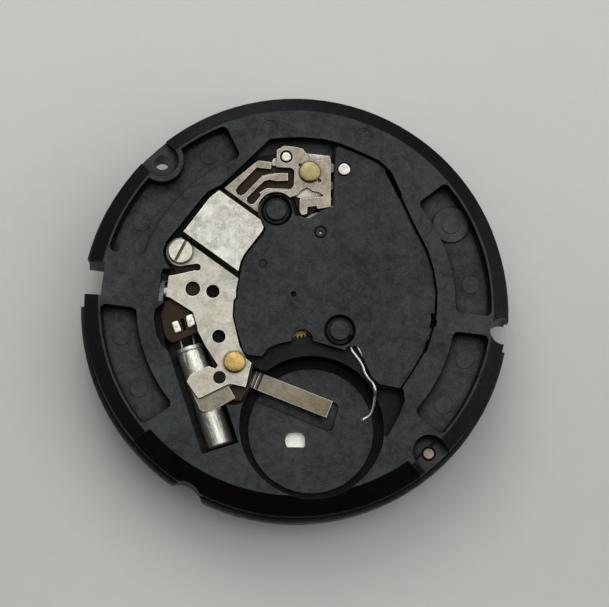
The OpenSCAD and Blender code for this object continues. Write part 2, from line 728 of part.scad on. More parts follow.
// Black moulded main plate with its rim, battery well and wheel chambers
module main_plate()
    color(plastic)
        union() {
            difference() {
                union() {
                    difference() {
                        rim_body();
                        pockets();
                        edge_bevel();
                        rim_notches();
                        translate([0, 0, bridge_z])
                            linear_extrude(cut_h)
                                polygon(recess_edge);
                        translate([0, 0, board_z])
                            linear_extrude(cut_h)
                                polygon(bay_edge);
                        // Gaps where the recess is wider than the bridge
                        for (gap = recess_gaps)
                            translate([0, 0, bridge_z - 0.6])
                                linear_extrude(cut_h)
                                    polygon(gap);
                        crystal_frame(can_z - can_cap_d / 2 - 0.02) {
                            translate([-can_end_gap - 0.5, -can_d / 2 - can_side_gap, 0])
                                cube([can_l + 2 * can_end_gap + 0.5, can_d + can_side_gap + 0.15, cut_h]);
                            // Room for the leads under the board
                            translate([-1.36, -0.52, 0.04])
                                cube([0.8, 1.18, cut_h]);
                        }
                        train_cut();
                        well_cut();
                    }
                    ejector_marks();
                }
                dial_side_cut();
                fastener_holes();
            }
            plate_posts();
        }

// Moulded bridge over the train and the motor
module train_bridge()
    color([0.12, 0.13, 0.14])
        difference() {
            translate([0, 0, bridge_z])
                linear_extrude(bridge_t)
                    polygon(bridge_edge);
            for (p = stake_pos) {
                at(p, bridge_z - over)
                    cylinder(h = bridge_t + 2 * over, d = stake_post_d + 2 * drop_gap);
                at(p, bridge_z + bridge_t / 2)
                    cylinder(h = bridge_t, d = stake_bore_d);
                at(p, bridge_z + bridge_t - 0.1)
                    cylinder(h = 0.2, d1 = stake_bore_d, d2 = stake_bore_d + 0.5);
            }
            for (gap = recess_gaps)
                translate([0, 0, bridge_z - over])
                    linear_extrude(bridge_t + 2 * over)
                        polygon(gap);
            at(bridge_pin_pos, bridge_z - over)
                cylinder(h = bridge_t + 2 * over, d = bridge_pin_d + 2 * drop_gap);
            // Open notch over the edge of the seconds wheel
            at([0.5, -1.66], bridge_z - over)
                cylinder(h = bridge_t + 2 * over, r = 0.52);
            // Bearings of the arbors, the rotor's open at the top
            for (p = [origin, fifth_pos, third_pos])
                at(p, bridge_z - eps)
                    cylinder(h = 0.2, r = pivot_d / 2 + run_gap, $fn = 32);
            at(rotor_pos, bridge_z - over)
                cylinder(h = bridge_t + 2 * over, r = pivot_d / 2 + run_gap, $fn = 32);
            at(rotor_pos, bridge_z + bridge_t - 0.1)
                difference() {
                    cylinder(h = over, d = 0.65);
                    translate([0, 0, -eps])
                        cylinder(h = over, d = 0.44);
                }
            // Inspection hole and a blind mark beside it
            at([-0.19, 0.5], bridge_z + 0.15)
                cylinder(h = bridge_t, d = 0.28);
            at([-1.84, 1.79], bridge_z + bridge_t - 0.08)
                cylinder(h = over, d = 0.44);
            // Relief over the wire spring's bight
            translate([0, 0, bridge_z - over])
                linear_extrude(over + wire_d + 0.04)
                    polygon([[2.68, -2.1], [3.2, -2.1], [3.45, -2.35], [3.85, -2.35], [3.6, -1.12], [2.68, -1.12]]);
            // Relief over the coil
            coil_frame(bridge_z - eps)
                translate([-coil_d / 2 - drop_gap, -coil_l / 2 - drop_gap, 0])
                    cube([coil_d + 2 * drop_gap, coil_l + 2 * drop_gap, 0.12]);
        }

board_low = [
    [-3.3, -3.9], [-2.45, -5], [-2.05, -4.95], [-1.7, -4.2], [-1.7, -3.1], [-2.1, -2.92], [-2.4, -2.75],
    [-2.7, -1.95], [-3.05, -1.02], [-3.08, -0.2], [-3, 0.3], [-3, 1.62], [-2.85, 2.18], [-2.14, 3.32],
    [-2.1, 3.56], [-2.4, 4], [-2.58, 4.6], [-2.28, 5.26], [-1.5, 5.5], [-0.75, 5.28], [-0.4, 4.52],
    [0.05, 4.5], [0.45, 4.88], [1, 5.2], [0.7, 7.28]
];
board_left = [
    [0.6, 7.4], [0.42, 7.36], [0.3, 7.2], [0.02, 7.08], [-0.3, 7.2], [-0.54, 7.44], [-0.7, 7.61],
    [-1.13, 7.67], [-1.55, 7.64], [-1.84, 7.4], [-1.98, 6.76], [-2.72, 6.74], [-4.2, 5.16], [-4.72, 4.62],
    [-5.06, 4.1], [-5.8, 2.78], [-6.25, 2.35], [-6.42, 1.9], [-6.38, 1.28], [-6, 0.95], [-6.02, -0.35], [-6.35, -0.75], [-6.4, -1.3], [-6.15, -2.1],
    [-5.93, -2.48], [-5.66, -2.56], [-4.5, -1.88]
];

// Brown fibre board under the steel sheets
module circuit_board()
    color([0.3, 0.24, 0.21])
        difference() {
            translate([0, 0, board_z])
                linear_extrude(board_t)
                    polygon(concat(board_low, board_left));
            at(screw_pos, board_z - over)
                cylinder(h = cut_h, d = screw_shank_d + 2 * drop_gap);
            for (p = stud_pos)
                at(p, board_z - over)
                    cylinder(h = cut_h, d = stud_shank_d + 2 * drop_gap);
            at(pin_pos, board_z - over)
                cylinder(h = cut_h, d = pin_d + 2 * drop_gap);
            for (p = [peep_pos[1], peep_pos[2]])
                at(p, board_z - over)
                    cylinder(h = cut_h, d = 0.74);
            // Slot between the two crystal pads
            translate([0, 0, board_z - over])
                linear_extrude(cut_h)
                    polygon([[-5.46, -1.38], [-5.31, -1.31], [-5.07, -1.86], [-5.24, -1.94]]);
            lead_holes();
        }

chip_pos = [-4.15, 3.2];

// Chip under the raised middle of the cover
module ic_chip()
    color([0.08, 0.08, 0.09])
        at(chip_pos, board_z + board_t)
            rotate(band_angle)
                translate([-chip_w / 2, -chip_w / 2, 0])
                    cube([chip_w, chip_w, chip_h]);

pad_t = 0.06;

// Tinned pads where the crystal's leads end
module solder_pads()
    color([0.75, 0.74, 0.7])
        difference() {
            translate([0, 0, board_z + board_t])
                linear_extrude(pad_t) {
                    polygon([[-5.88, -1.62], [-5.56, -1.46], [-5.3, -1.96], [-5.61, -2.15]]);
                    polygon([[-5.24, -1.22], [-4.88, -1.02], [-4.67, -1.54], [-5.01, -1.82]]);
                }
            lead_holes();
        }

can_cap_l = 0.22;
can_cap_d = can_d + 0.06;
can_nose_r = 0.12;

// Cylinder can of the quartz crystal, with a crimped cap at its leads
module crystal_can()
    color([0.86, 0.86, 0.82])
        crystal_frame()
            rotate([0, 90, 0])
                rotate_extrude()
                    polygon(concat(
                        [[0, 0], [can_cap_d / 2 - 0.05, 0], [can_cap_d / 2, 0.05], [can_cap_d / 2, can_cap_l - 0.04],
                            [can_d / 2 - 0.03, can_cap_l], [can_d / 2, can_cap_l + 0.05]],
                        arc([can_d / 2 - can_nose_r, can_l - can_nose_r], can_nose_r, 0, 90, 4),
                        [[0, can_l]]
                    ));

lead_top = board_z + board_t + pad_t + 0.04;
lead_ends = [[-5.59, -1.79], [-4.95, -1.4]];
function lead_root(i) = can_pos + turned([0, i == 0 ? -0.3 : 0.3], can_angle);
function lead_knee(i) = lead_ends[i] + 0.22 * (lead_root(i) - lead_ends[i]) / norm(lead_root(i) - lead_ends[i]);

module lead_holes()
    for (p = lead_ends)
        at(p, board_z - over)
            cylinder(h = cut_h, d = lead_d + 2 * drop_gap);

// Two leads that run from the can under the board and up through their pads
module crystal_leads()
    color([0.84, 0.84, 0.8])
        for (i = [0:1])
            wire([
                concat(lead_root(i), can_z), concat(lead_knee(i), can_z), concat(lead_ends[i], can_z + 0.22),
                concat(lead_ends[i], lead_top)
            ], lead_d / 2);

band_angle = -28.7;
band_t = [-0.6, -0.34, 2.33, 2.61];
peep_pos = [[-5.05, 0.13], [-4.07, 0.13], [-3.5, -2.02], [-3.21, -4]];
peep_r = [0.36, 0.325, 0.325, 0.31];
lug_r = 0.7;
stake_clear = stake_bore_d / 2 + 0.1;

// Edge of the steel cover, clockwise from its upper end
cover_head = [
    [-1.88, 7.47], [-1.58, 7.72], [-1.13, 7.75], [-0.64, 7.7], [-0.5, 7.56], [-0.29, 7.28], [0.02, 7.17],
    [0.28, 7.28], [0.38, 7.44], [0.62, 7.5], [0.77, 7.38], [1.06, 5.02]
];
cover_hook = [
    [0.46, 4.84], [0.38, 4.98], [-0.06, 4.86], [-0.04, 4.52], [-0.26, 4.43], [-0.4, 4.6], [-0.47, 5.2],
    [0.03, 5.34], [0.6, 5.46], [0.66, 5.54], [0.4, 5.67], [0.11, 5.68], [-0.21, 5.84], [-0.5, 5.62], [-0.62, 5.4]
];
cover_middle = [
    [-2.34, 4.26], [-2.45, 4.06], [-2.27, 3.95], [-2.04, 3.53], [-2.1, 3.32], [-2.81, 2.09], [-2.93, 1.72],
    [-2.98, 1.22], [-2.93, 0.9], [-2.97, 0.32], [-2.93, 0], [-3.03, -0.2], [-2.97, -0.97], [-2.79, -1.44],
    [-2.45, -2.35], [-2.06, -2.92], [-1.78, -3.08], [-1.9, -4.3], [-2.62, -4.24], [-2.8, -4.3]
];
cover_tongue = [
    [-4.01, -5.11], [-4.1, -5.13], [-4.75, -4.4], [-4.62, -4.05], [-3.96, -3.61], [-3.78, -3.52], [-3.45, -3.6],
    [-3.36, -3.42], [-4.05, -2.59], [-4.52, -1.91], [-4.61, -1.63], [-4.89, -1], [-6.08, -0.44], [-6.27, -0.42],
    [-6.28, 0.62], [-5.99, 0.69], [-5.12, 1.02]
];
cover_side = [
    [-5.9, 2.78], [-5.83, 2.86], [-4.97, 4.38], [-4.8, 4.66], [-4.42, 5.06], [-4.17, 5.27], [-2.88, 6.68],
    [-2.7, 6.83], [-2.08, 6.84], [-2.05, 6.5], [-2.59, 6.48], [-2.74, 6.5], [-3.55, 5.42], [-3.62, 5.22],
    [-3.5, 5.03], [-3.32, 4.99]
];
cover_finger = [
    [-3.19, 5.07], [-2.44, 6.09], [-2.06, 6.24], [-1.73, 6.33], [-1.21, 6.4], [-1.16, 6.04], [-1.69, 5.94],
    [-2.03, 5.97], [-2.31, 5.86], [-3.03, 4.93], [-3.02, 4.74], [-2.82, 4.62], [-2.66, 4.67], [-2.33, 5.2],
    [-2.14, 5.4], [-1.88, 5.49], [-1.1, 5.57], [-0.92, 5.66], [-0.84, 5.86], [-0.9, 6.55], [-1, 6.66],
    [-1.15, 6.69], [-1.8, 6.63]
];
cover_edge = concat(
    cover_head, cover_hook, arc(stake_pos[0], 0.93, 52, 164, 8), cover_middle, cover_tongue,
    arc([-4.98, 1.2], 0.18, -60, 100, 6), arc(screw_pos, lug_r, -62, -262, 12), cover_side, cover_finger
);

// Profile across the cover: flat, up to the raised middle, and down again
cover_reach = 12;
function cover_step(z) = [
    [-cover_reach, z], [band_t[0], z], [band_t[1], z + cover_rise], [band_t[2], z + cover_rise],
    [band_t[3], z], [cover_reach, z]
];
function backwards(p) = [for (i = [len(p) - 1:-1:0]) p[i]];

// Stamped steel cover over the circuit, with the crystal's upper clamp tongue
module circuit_cover()
    color(plate_steel)
        difference() {
            intersection() {
                linear_extrude(rim_h + over)
                    polygon(cover_edge);
                rotate([90, 0, 90 + band_angle])
                    translate([0, 0, -cover_reach])
                        linear_extrude(2 * cover_reach)
                            polygon(concat(cover_step(cover_z), backwards(cover_step(cover_z + cover_t))));
            }
            for (i = [0:3])
                at(peep_pos[i], 0)
                    cylinder(h = cut_h, r = peep_r[i]);
            at(screw_pos)
                cylinder(h = cut_h, d = screw_shank_d + 2 * drop_gap);
            for (p = stud_pos)
                at(p)
                    cylinder(h = cut_h, d = stud_shank_d + 2 * drop_gap);
            at(pin_pos)
                cylinder(h = cut_h, d = 0.64);
            for (d = [[-0.5, 0.28], [0.53, -0.37]])
                at(stud_pos[0] + d)
                    cylinder(h = cut_h, r = 0.1, $fn = 32);
        }

arm_step = [[-4, contact_z], [-0.5, contact_z], [-0.2, arm_z + 0.12], [0.5, arm_z], [arm_l, arm_z + 0.05]];
contact_tongue = [
    [-2.72, -4.34], [-2.32, -4.88], [-3.02, -5.4], [-3.36, -5.6], [-3.76, -5.74], [-3.95, -5.64], [-4.7, -4.42],
    [-4.5, -4.1], [-3.6, -3.75]
];

// Lower contact sheet: battery arm, root under the brass stud and the crystal's lower clamp tongue
module battery_contact()
    color([0.72, 0.68, 0.6])
        difference() {
            union() {
                translate([0, 0, contact_z])
                    linear_extrude(contact_t)
                        polygon(concat([[-3.3, -3.3], [-3, -2.8], [-2.4, -2.85], [-1.95, -3.1], [-1.95, -4.1]], contact_tongue));
                intersection() {
                    arm_frame()
                        translate([0, arm_w / 2, 0])
                            rotate([90, 0, 0])
                                linear_extrude(arm_w)
                                    polygon(concat(arm_step, backwards([for (p = arm_step) p + [0, contact_t]])));
                    translate([-2.1, -7, 0])
                        cube([8, 6, cut_h]);
                }
            }
            at(stud_pos[1])
                cylinder(h = cut_h, d = stud_shank_d + 2 * drop_gap);
        }

// Contact sheet under the cover's upper end
module upper_contact()
    color([0.74, 0.71, 0.64])
        difference() {
            translate([0, 0, contact_z])
                linear_extrude(contact_t)
                    polygon([
                        [-2.1, 6.72], [-2, 7.05], [-1.8, 7.12], [-1.55, 7.5], [0.72, 7.55], [0.82, 7.2], [0.97, 7.16],
                        [0.99, 6.78], [0.86, 6.72], [0.9, 6.3], [1.03, 6.25], [1.05, 5.92], [0.93, 5.86], [0.96, 5.56],
                        [1.08, 5.5], [1.1, 5.1], [0.45, 4.95], [-0.1, 5.18], [-0.8, 5.35], [-1.3, 5.58],
                        [-1.9, 5.5], [-2.3, 5.05], [-2.45, 5.3], [-2.1, 5.56], [-1, 5.66], [-0.75, 5.9], [-0.8, 6.65],
                        [-1.1, 6.78], [-1.8, 6.7]
                    ]);
            at(stud_pos[0])
                cylinder(h = cut_h, d = stud_shank_d + 2 * drop_gap);
            at(pin_pos)
                cylinder(h = cut_h, d = pin_d + 2 * drop_gap);
        }

// Route of the wire spring: a bight under the bridge, along the well's wall and down to the cell's side
wire_z = bridge_z + wire_d / 2 + 0.005;
wire_flat = [
    [3.67, -2.21], [3.5, -1.97], [3.29, -1.7], [3.17, -1.45], [3, -1.3], [2.86, -1.45], [2.9, -1.7],
    [3.04, -1.92], [3.41, -2.29], [3.6, -2.55], [3.72, -2.82], [3.95, -3.1], [4.18, -3.3], [4.29, -3.55]
];
wire_fall = [[4.35, -3.9, 1.86], [4.33, -4.45, 1.6], [4.2, -4.8, 1.45], [3.83, -5.06, 1.4]];
wire_route = concat([for (p = wire_flat) [p.x, p.y, wire_z]], wire_fall);
wire_sides = 8;
function unit(v) = v / norm(v);
function route_dir(p, i) = unit(p[min(i + 1, len(p) - 1)] - p[max(i - 1, 0)]);
function ring_points(c, d, r) =
    let (side = unit(cross(d, [0, 0, 1])), up = cross(side, d))
    [for (k = [0:wire_sides - 1]) c + r * (cos(360 * k / wire_sides) * side + sin(360 * k / wire_sides) * up)];
// Smooth points through a route, three between each pair of corners
function smooth(p, n = 3) = [
    for (i = [0:len(p) - 2])
        for (j = [0:n - 1])
            let (
                t = j / n, a = p[max(i - 1, 0)], b = p[i], c = p[i + 1], d = p[min(i + 2, len(p) - 1)]
            )
            ((2 * b) + (c - a) * t + (2 * a - 5 * b + 4 * c - d) * t * t + (3 * b - a - 3 * c + d) * t * t * t) / 2,
    p[len(p) - 1]
];

module wire(route, r) {
    p = smooth(route);
    n = len(p);
    points = [for (i = [0:n - 1]) each ring_points(p[i], route_dir(p, i), r)];
    sides = [
        for (i = [0:n - 2])
            for (k = [0:wire_sides - 1])
                let (a = i * wire_sides + k, b = i * wire_sides + (k + 1) % wire_sides)
                each [[a, b, b + wire_sides], [a, b + wire_sides, a + wire_sides]]
    ];
    first = [for (k = [wire_sides - 1:-1:0]) k];
    last = [for (k = [0:wire_sides - 1]) (n - 1) * wire_sides + k];
    polyhedron(points, concat([first], [last], sides));
}

// Wire spring that touches the side of the cell
module side_contact_spring()
    color(pin_steel)
        wire(wire_route, wire_d / 2);

slot_w = 0.14;

// Slotted screw that holds the cover
module cover_screw()
    color(pin_steel)
        difference() {
            union() {
                at(screw_pos, cover_z + cover_t)
                    cylinder(h = screw_head_h, d = screw_head_d);
                at(screw_pos, 1)
                    cylinder(h = cover_z + cover_t - 1 + eps, d = screw_shank_d);
            }
            at(screw_pos, cover_z + cover_t + screw_head_h / 2)
                rotate(70)
                    translate([-screw_head_d, -slot_w / 2, 0])
                        cube([2 * screw_head_d, slot_w, screw_head_h]);
        }

// Two brass studs pressed over the sheets
module brass_studs()
    color(brass)
        for (p = stud_pos) {
            at(p, cover_z + cover_t)
                cylinder(h = stud_head_h, d = stud_head_d);
            at(p, 1)
                cylinder(h = cover_z + cover_t - 1 + eps, d = stud_shank_d);
        }

module cover_pin()
    color(pin_steel)
        at(pin_pos, 1)
            cylinder(h = cover_z + cover_t - 1, d = pin_d);

module bridge_pin()
    color(pin_steel)
        at(bridge_pin_pos, 1)
            cylinder(h = bridge_z + bridge_t + 0.04 - 1, d = bridge_pin_d);

module dial_foot_dowel()
    color(pin_steel)
        at(dowel_pos, 0.2)
            cylinder(h = pocket_z + 0.02 - 0.2, d = dowel_d);

stator_ring_r = 1.1;
lower_arm = [
    coil_point(-0.55, -3.85), coil_point(0.55, -3.85), coil_point(0.55, -2.5), coil_point(-0.95, -2.5),
    coil_point(-0.95, -1.5), [3.45, 2.3], [3, 3.3], [1.95, 4.1], [1.2, 3.2], [2.3, 2.7], [2.75, 2.2], [3, 0.9],
    [3.38, -0.43], coil_point(-0.55, -2.95)
];
upper_arm = [
    [1.3, 3.2], [1.9, 3.9], [2.3, 4.6], coil_point(-0.55, 2.75), coil_point(0.55, 2.95),
    coil_point(0.55, 3.85), coil_point(-0.55, 3.85), [1.8, 5.7], [0.7, 4.9]
];
module stator_shape(h, d)
    union() {
        at(rotor_pos)
            cylinder(h = h, r = stator_ring_r + d);
        linear_extrude(h)
            polygon(grown(lower_arm, d));
        linear_extrude(h)
            polygon(grown(upper_arm, d));
    }

// Stator sheet round the rotor, with an arm to each end of the coil
module stator()
    color([0.7, 0.69, 0.66])
        difference() {
            translate([0, 0, stator_z])
                stator_shape(stator_t, 0);
            at(rotor_pos, 0)
                cylinder(h = cut_h, d = stator_hole_d);
        }

// Core of the coil, with a broad tab at each end
module coil_core()
    color([0.66, 0.65, 0.62])
        coil_frame(coil_z - core_t / 2) {
            translate([-core_w / 2, -coil_tab, 0])
                cube([core_w, 2 * coil_tab, core_t]);
            for (s = [-1, 1])
                translate([-coil_tab_w / 2, s > 0 ? coil_tab - 0.95 : -coil_tab, 0])
                    cube([coil_tab_w, 0.95, core_t]);
        }

// Copper winding round the core
module coil_winding()
    color([0.72, 0.4, 0.2])
        difference() {
            coil_frame(coil_z)
                translate([0, coil_l / 2, 0])
                    rotate([90, 0, 0])
                        cylinder(h = coil_l, d = coil_d);
            coil_frame(coil_z - core_t / 2)
                translate([-core_w / 2, -coil_l, 0])
                    cube([core_w, 2 * coil_l, core_t]);
        }

// Two soldered terminals of the coil on its upper tab
module coil_terminals()
    color([0.74, 0.6, 0.35])
        coil_frame(stator_z)
            for (s = [-1, 1])
                translate([s * 0.2 - 0.12, 2.34, 0])
                    cube([0.24, 0.36, 0.12]);

module rotor_magnet()
    color([0.3, 0.3, 0.32])
        at(rotor_pos, magnet_z)
            difference() {
                cylinder(h = magnet_h, d = magnet_d);
                translate([0, 0, -over])
                    cylinder(h = cut_h, d = arbor_d);
            }

module rotor_pinion()
    color(pin_steel)
        at(rotor_pos) {
            arbor(arbor_z1, arbor_z2);
            translate([0, 0, rotor_pinion_z])
                gear(rotor_teeth, motor_module, rotor_pinion_h, toward(rotor_pos, fifth_pos));
        }

// A spoked brass wheel that is pressed on its arbor
module train_wheel(teeth, module_, face, gap, bore_d)
    difference() {
        gear(teeth, module_, wheel_t, face, gap);
        translate([0, 0, -over])
            cylinder(h = wheel_t + 2 * over, d = bore_d);
        translate([0, 0, -over])
            spoke_windows(0.5, root_r(teeth, module_) - 0.22, 4, 0.16, wheel_t + 2 * over);
    }

module fifth_wheel()
    color(brass)
        at(fifth_pos, fifth_wheel_z)
            train_wheel(fifth_teeth, motor_module, toward(fifth_pos, rotor_pos), true, arbor_d);

module fifth_pinion()
    color(pin_steel)
        at(fifth_pos) {
            arbor(arbor_z1, arbor_z2);
            translate([0, 0, fifth_pinion_z])
                gear(fifth_leaves, seconds_module, fifth_pinion_h, toward(fifth_pos, origin));
        }

module third_wheel()
    color(brass)
        at(third_pos, third_wheel_z)
            train_wheel(third_teeth, third_module, toward(third_pos, origin), true, arbor_d);

module third_pinion()
    color(pin_steel)
        at(third_pos) {
            arbor(arbor_z1, arbor_z2);
            translate([0, 0, third_pinion_z])
                gear(third_leaves, centre_module, third_pinion_h, toward(third_pos, origin));
        }

module seconds_wheel()
    color(brass)
        at(origin, seconds_wheel_z)
            train_wheel(seconds_teeth, seconds_module, toward(origin, fifth_pos), true, arbor_d);

// Seconds arbor, which runs through the cannon pinion to the dial side
module seconds_arbor()
    color(pin_steel) {
        translate([0, 0, -seconds_reach])
            cylinder(h = seconds_reach - minute_reach - seat_gap, d = seconds_seat_d);
        translate([0, 0, -minute_reach - seat_gap - eps])
            cylinder(h = minute_reach + seat_gap + seconds_pinion_z + 2 * eps, d1 = seconds_seat_d, d2 = seconds_seat_d - 0.02);
        translate([0, 0, seconds_pinion_z])
            gear(seconds_leaves, third_module, seconds_pinion_h, toward(origin, third_pos));
        translate([0, 0, seconds_pinion_z])
            cylinder(h = arbor_z2 - seconds_pinion_z, d = arbor_d);
        translate([0, 0, arbor_z2])
            cylinder(h = 0.15, d = pivot_d);
    }

centre_tube_d = 0.48;
centre_bore_d = seconds_seat_d + 0.08;
tube_z = 0.15;
// The seats' bodies: each hand's seat stands free below the next larger pipe
cannon_d = minute_seat_d + 0.34;
seat_gap = 0.03;
hour_collar_r = hour_seat_d / 2 + 0.2;

module centre_wheel()
    color(brass)
        difference() {
            union() {
                translate([0, 0, centre_wheel_z])
                    difference() {
                        gear(centre_teeth, centre_module, wheel_t, toward(origin, third_pos), true);
                        translate([0, 0, -over])
                            spoke_windows(0.6, root_r(centre_teeth, centre_module) - 0.22, 4, 0.16, wheel_t + 2 * over);
                    }
                translate([0, 0, arbor_z1])
                    cylinder(h = centre_wheel_z - arbor_z1 + eps, d = centre_tube_d + 0.2);
                translate([0, 0, tube_z])
                    cylinder(h = centre_wheel_z - tube_z, d = centre_tube_d);
            }
            translate([0, 0, -over])
                cylinder(h = cut_h, d = centre_bore_d);
        }

cannon_z = web_z - 0.18;
cannon_h = 0.16;

// Cannon pinion, pressed on the centre tube, which carries the minute hand
module cannon_pinion()
    color(pin_steel)
        difference() {
            union() {
                translate([0, 0, cannon_z])
                    gear(cannon_teeth, motion_module, cannon_h, toward(origin, minute_pos));
                translate([0, 0, -minute_reach])
                    cylinder(h = minute_reach + cannon_z + eps, d = minute_seat_d);
                translate([0, 0, -hour_reach - seat_gap])
                    cylinder(h = hour_reach + seat_gap + cannon_z + eps, d = cannon_d);
            }
            translate([0, 0, -minute_reach - over])
                cylinder(h = cut_h + minute_reach, d = centre_bore_d);
            translate([0, 0, tube_z])
                cylinder(h = over, d = centre_tube_d);
        }

module minute_wheel()
    color(brass)
        at(minute_pos)
            difference() {
                union() {
                    translate([0, 0, minute_wheel_z])
                        gear(minute_teeth, motion_module, minute_wheel_h, toward(minute_pos, origin), true);
                    translate([0, 0, hour_wheel_z])
                        gear(minute_leaves, hour_module, minute_wheel_z - hour_wheel_z + eps, toward(minute_pos, origin));
                }
                cylinder(h = over, r = small_post_d / 2 + run_gap);
            }

module hour_wheel()
    color(brass)
        difference() {
            union() {
                translate([0, 0, hour_wheel_z])
                    gear(hour_teeth, hour_module, hour_wheel_h, toward(origin, minute_pos), true);
                translate([0, 0, -hour_reach])
                    cylinder(h = hour_reach + eps, d = hour_seat_d);
                cylinder(h = hour_wheel_z + eps, r = hour_collar_r);
            }
            translate([0, 0, -hour_reach - over])
                cylinder(h = cut_h + hour_reach, r = cannon_d / 2 + run_gap);
        }

module setting_wheel()
    color(pin_steel)
        at(setting_pos, setting_wheel_z)
            difference() {
                gear(setting_teeth, motion_module, setting_wheel_h, toward(setting_pos, minute_pos));
                translate([0, 0, -over])
                    cylinder(h = 3 * over, r = small_post_d / 2 + run_gap);
            }

groove_floor_d = 0.6;
clutch_teeth = 12;

// Sliding clutch wheel on the stem's axis, with crown teeth at its inner end
module clutch_wheel()
    color(pin_steel)
        translate([clutch_x - clutch_l / 2, 0, stem_z])
            rotate([0, 90, 0])
                difference() {
                    union() {
                        cylinder(h = clutch_l / 2 - groove_w / 2, d = clutch_d);
                        cylinder(h = clutch_l, d = groove_floor_d);
                        translate([0, 0, clutch_l / 2 + groove_w / 2])
                            cylinder(h = clutch_l / 2 - groove_w / 2 - 0.12, d = clutch_d);
                        translate([0, 0, clutch_l - 0.12 - eps])
                            for (i = [0:clutch_teeth - 1])
                                rotate(360 * i / clutch_teeth)
                                    translate([0.22, -0.05, 0])
                                        cube([clutch_d / 2 - 0.23, 0.1, 0.12 + eps]);
                    }
                    // Square hole for the stem's square
                    translate([-0.17, -0.17, -over])
                        cube([0.34, 0.34, clutch_l + 2 * over]);
                }

module setting_lever()
    color(plate_steel)
        difference() {
            union() {
                translate([0, 0, lever_z])
                    linear_extrude(lever_t)
                        polygon(lever_edge);
                translate([lever_tab_x - tab_t / 2, -tab_w / 2, lever_z])
                    cube([tab_t, tab_w, stem_z - lever_z - 0.2]);
            }
            at(lever_pos, -over)
                cylinder(h = cut_h, r = post_d / 2 + run_gap);
        }

module yoke()
    color(plate_steel)
        difference() {
            union() {
                translate([0, 0, lever_z])
                    linear_extrude(lever_t)
                        polygon(yoke_edge);
                translate([clutch_x - tab_t / 2, -tab_w / 2, lever_z])
                    cube([tab_t, tab_w, stem_z - groove_floor_d / 2 - 0.06 - lever_z]);
            }
            at(yoke_pos, -over)
                cylinder(h = cut_h, r = post_d / 2 + run_gap);
        }

// Thin steel cover that keeps the dial side parts in place
module dial_cover()
    color([0.8, 0.79, 0.75])
        translate([0, 0, dial_cover_z])
            difference() {
                cylinder(h = dial_cover_t, d = dial_cover_d, $fn = big_fn);
                translate([0, 0, -over])
                    cylinder(h = 3 * over, r = hour_collar_r + 2 * drop_gap);
                for (p = stake_ring)
                    at(p, -over)
                        cylinder(h = 3 * over, d = small_post_d + 2 * drop_gap);
            }

main_plate();
train_bridge();
circuit_board();
ic_chip();
solder_pads();
crystal_can();
crystal_leads();
circuit_cover();
battery_contact();
upper_contact();
side_contact_spring();
cover_screw();
brass_studs();
cover_pin();
bridge_pin();
dial_foot_dowel();
stator();
coil_core();
coil_winding();
coil_terminals();
rotor_magnet();
rotor_pinion();
fifth_wheel();
fifth_pinion();
third_wheel();
third_pinion();
seconds_wheel();
seconds_arbor();
centre_wheel();
cannon_pinion();
minute_wheel();
hour_wheel();
setting_wheel();
clutch_wheel();
setting_lever();
yoke();
dial_cover();
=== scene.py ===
"""Looks of a quartz watch movement, seen from its battery side.

Laid out as an add-on and run as a script: each piece or group of pieces has its operator, and main()
calls them in order. The scene is in metres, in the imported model's own frame. Sizes that are written
in millimetres are multiplied by MM.
"""

import json
import math

import bmesh
import bpy
from bpy.props import FloatProperty, FloatVectorProperty, IntProperty, PointerProperty
from mathutils import Matrix, Vector

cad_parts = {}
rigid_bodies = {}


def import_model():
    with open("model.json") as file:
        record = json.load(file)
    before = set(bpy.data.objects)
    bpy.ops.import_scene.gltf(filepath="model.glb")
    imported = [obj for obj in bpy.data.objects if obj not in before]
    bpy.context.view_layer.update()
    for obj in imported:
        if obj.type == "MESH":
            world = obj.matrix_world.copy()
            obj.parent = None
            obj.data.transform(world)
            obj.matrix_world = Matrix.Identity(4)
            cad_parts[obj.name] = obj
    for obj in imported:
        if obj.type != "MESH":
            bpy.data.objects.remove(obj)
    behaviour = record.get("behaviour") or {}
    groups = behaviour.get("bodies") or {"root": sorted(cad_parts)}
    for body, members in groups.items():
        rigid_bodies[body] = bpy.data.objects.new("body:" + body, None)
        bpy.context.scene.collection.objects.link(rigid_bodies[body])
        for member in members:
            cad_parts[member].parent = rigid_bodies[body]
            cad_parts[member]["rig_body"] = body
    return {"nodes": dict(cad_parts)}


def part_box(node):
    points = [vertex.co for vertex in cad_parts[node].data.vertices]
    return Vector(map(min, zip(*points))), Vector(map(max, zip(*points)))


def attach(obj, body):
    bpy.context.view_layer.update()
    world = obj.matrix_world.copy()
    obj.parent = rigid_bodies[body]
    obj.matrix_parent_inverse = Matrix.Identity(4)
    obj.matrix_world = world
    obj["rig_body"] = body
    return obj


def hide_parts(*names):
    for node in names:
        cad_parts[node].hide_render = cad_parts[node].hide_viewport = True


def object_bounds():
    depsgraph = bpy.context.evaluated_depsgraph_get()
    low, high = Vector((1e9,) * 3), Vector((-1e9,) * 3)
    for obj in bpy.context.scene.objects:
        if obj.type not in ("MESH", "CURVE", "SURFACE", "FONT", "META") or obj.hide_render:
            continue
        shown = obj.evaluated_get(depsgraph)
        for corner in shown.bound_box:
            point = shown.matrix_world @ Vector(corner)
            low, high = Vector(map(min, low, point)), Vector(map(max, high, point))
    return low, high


bl_info = {
    "name": "Watch movement looks",
    "version": (1, 0, 0),
    "blender": (4, 5, 0),
    "location": "View3D > Sidebar > Movement",
    "description": "Finishes the pieces of a quartz watch movement and its stage",
    "category": "Object",
}

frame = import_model()
CAD_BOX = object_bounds()
MM = 0.001

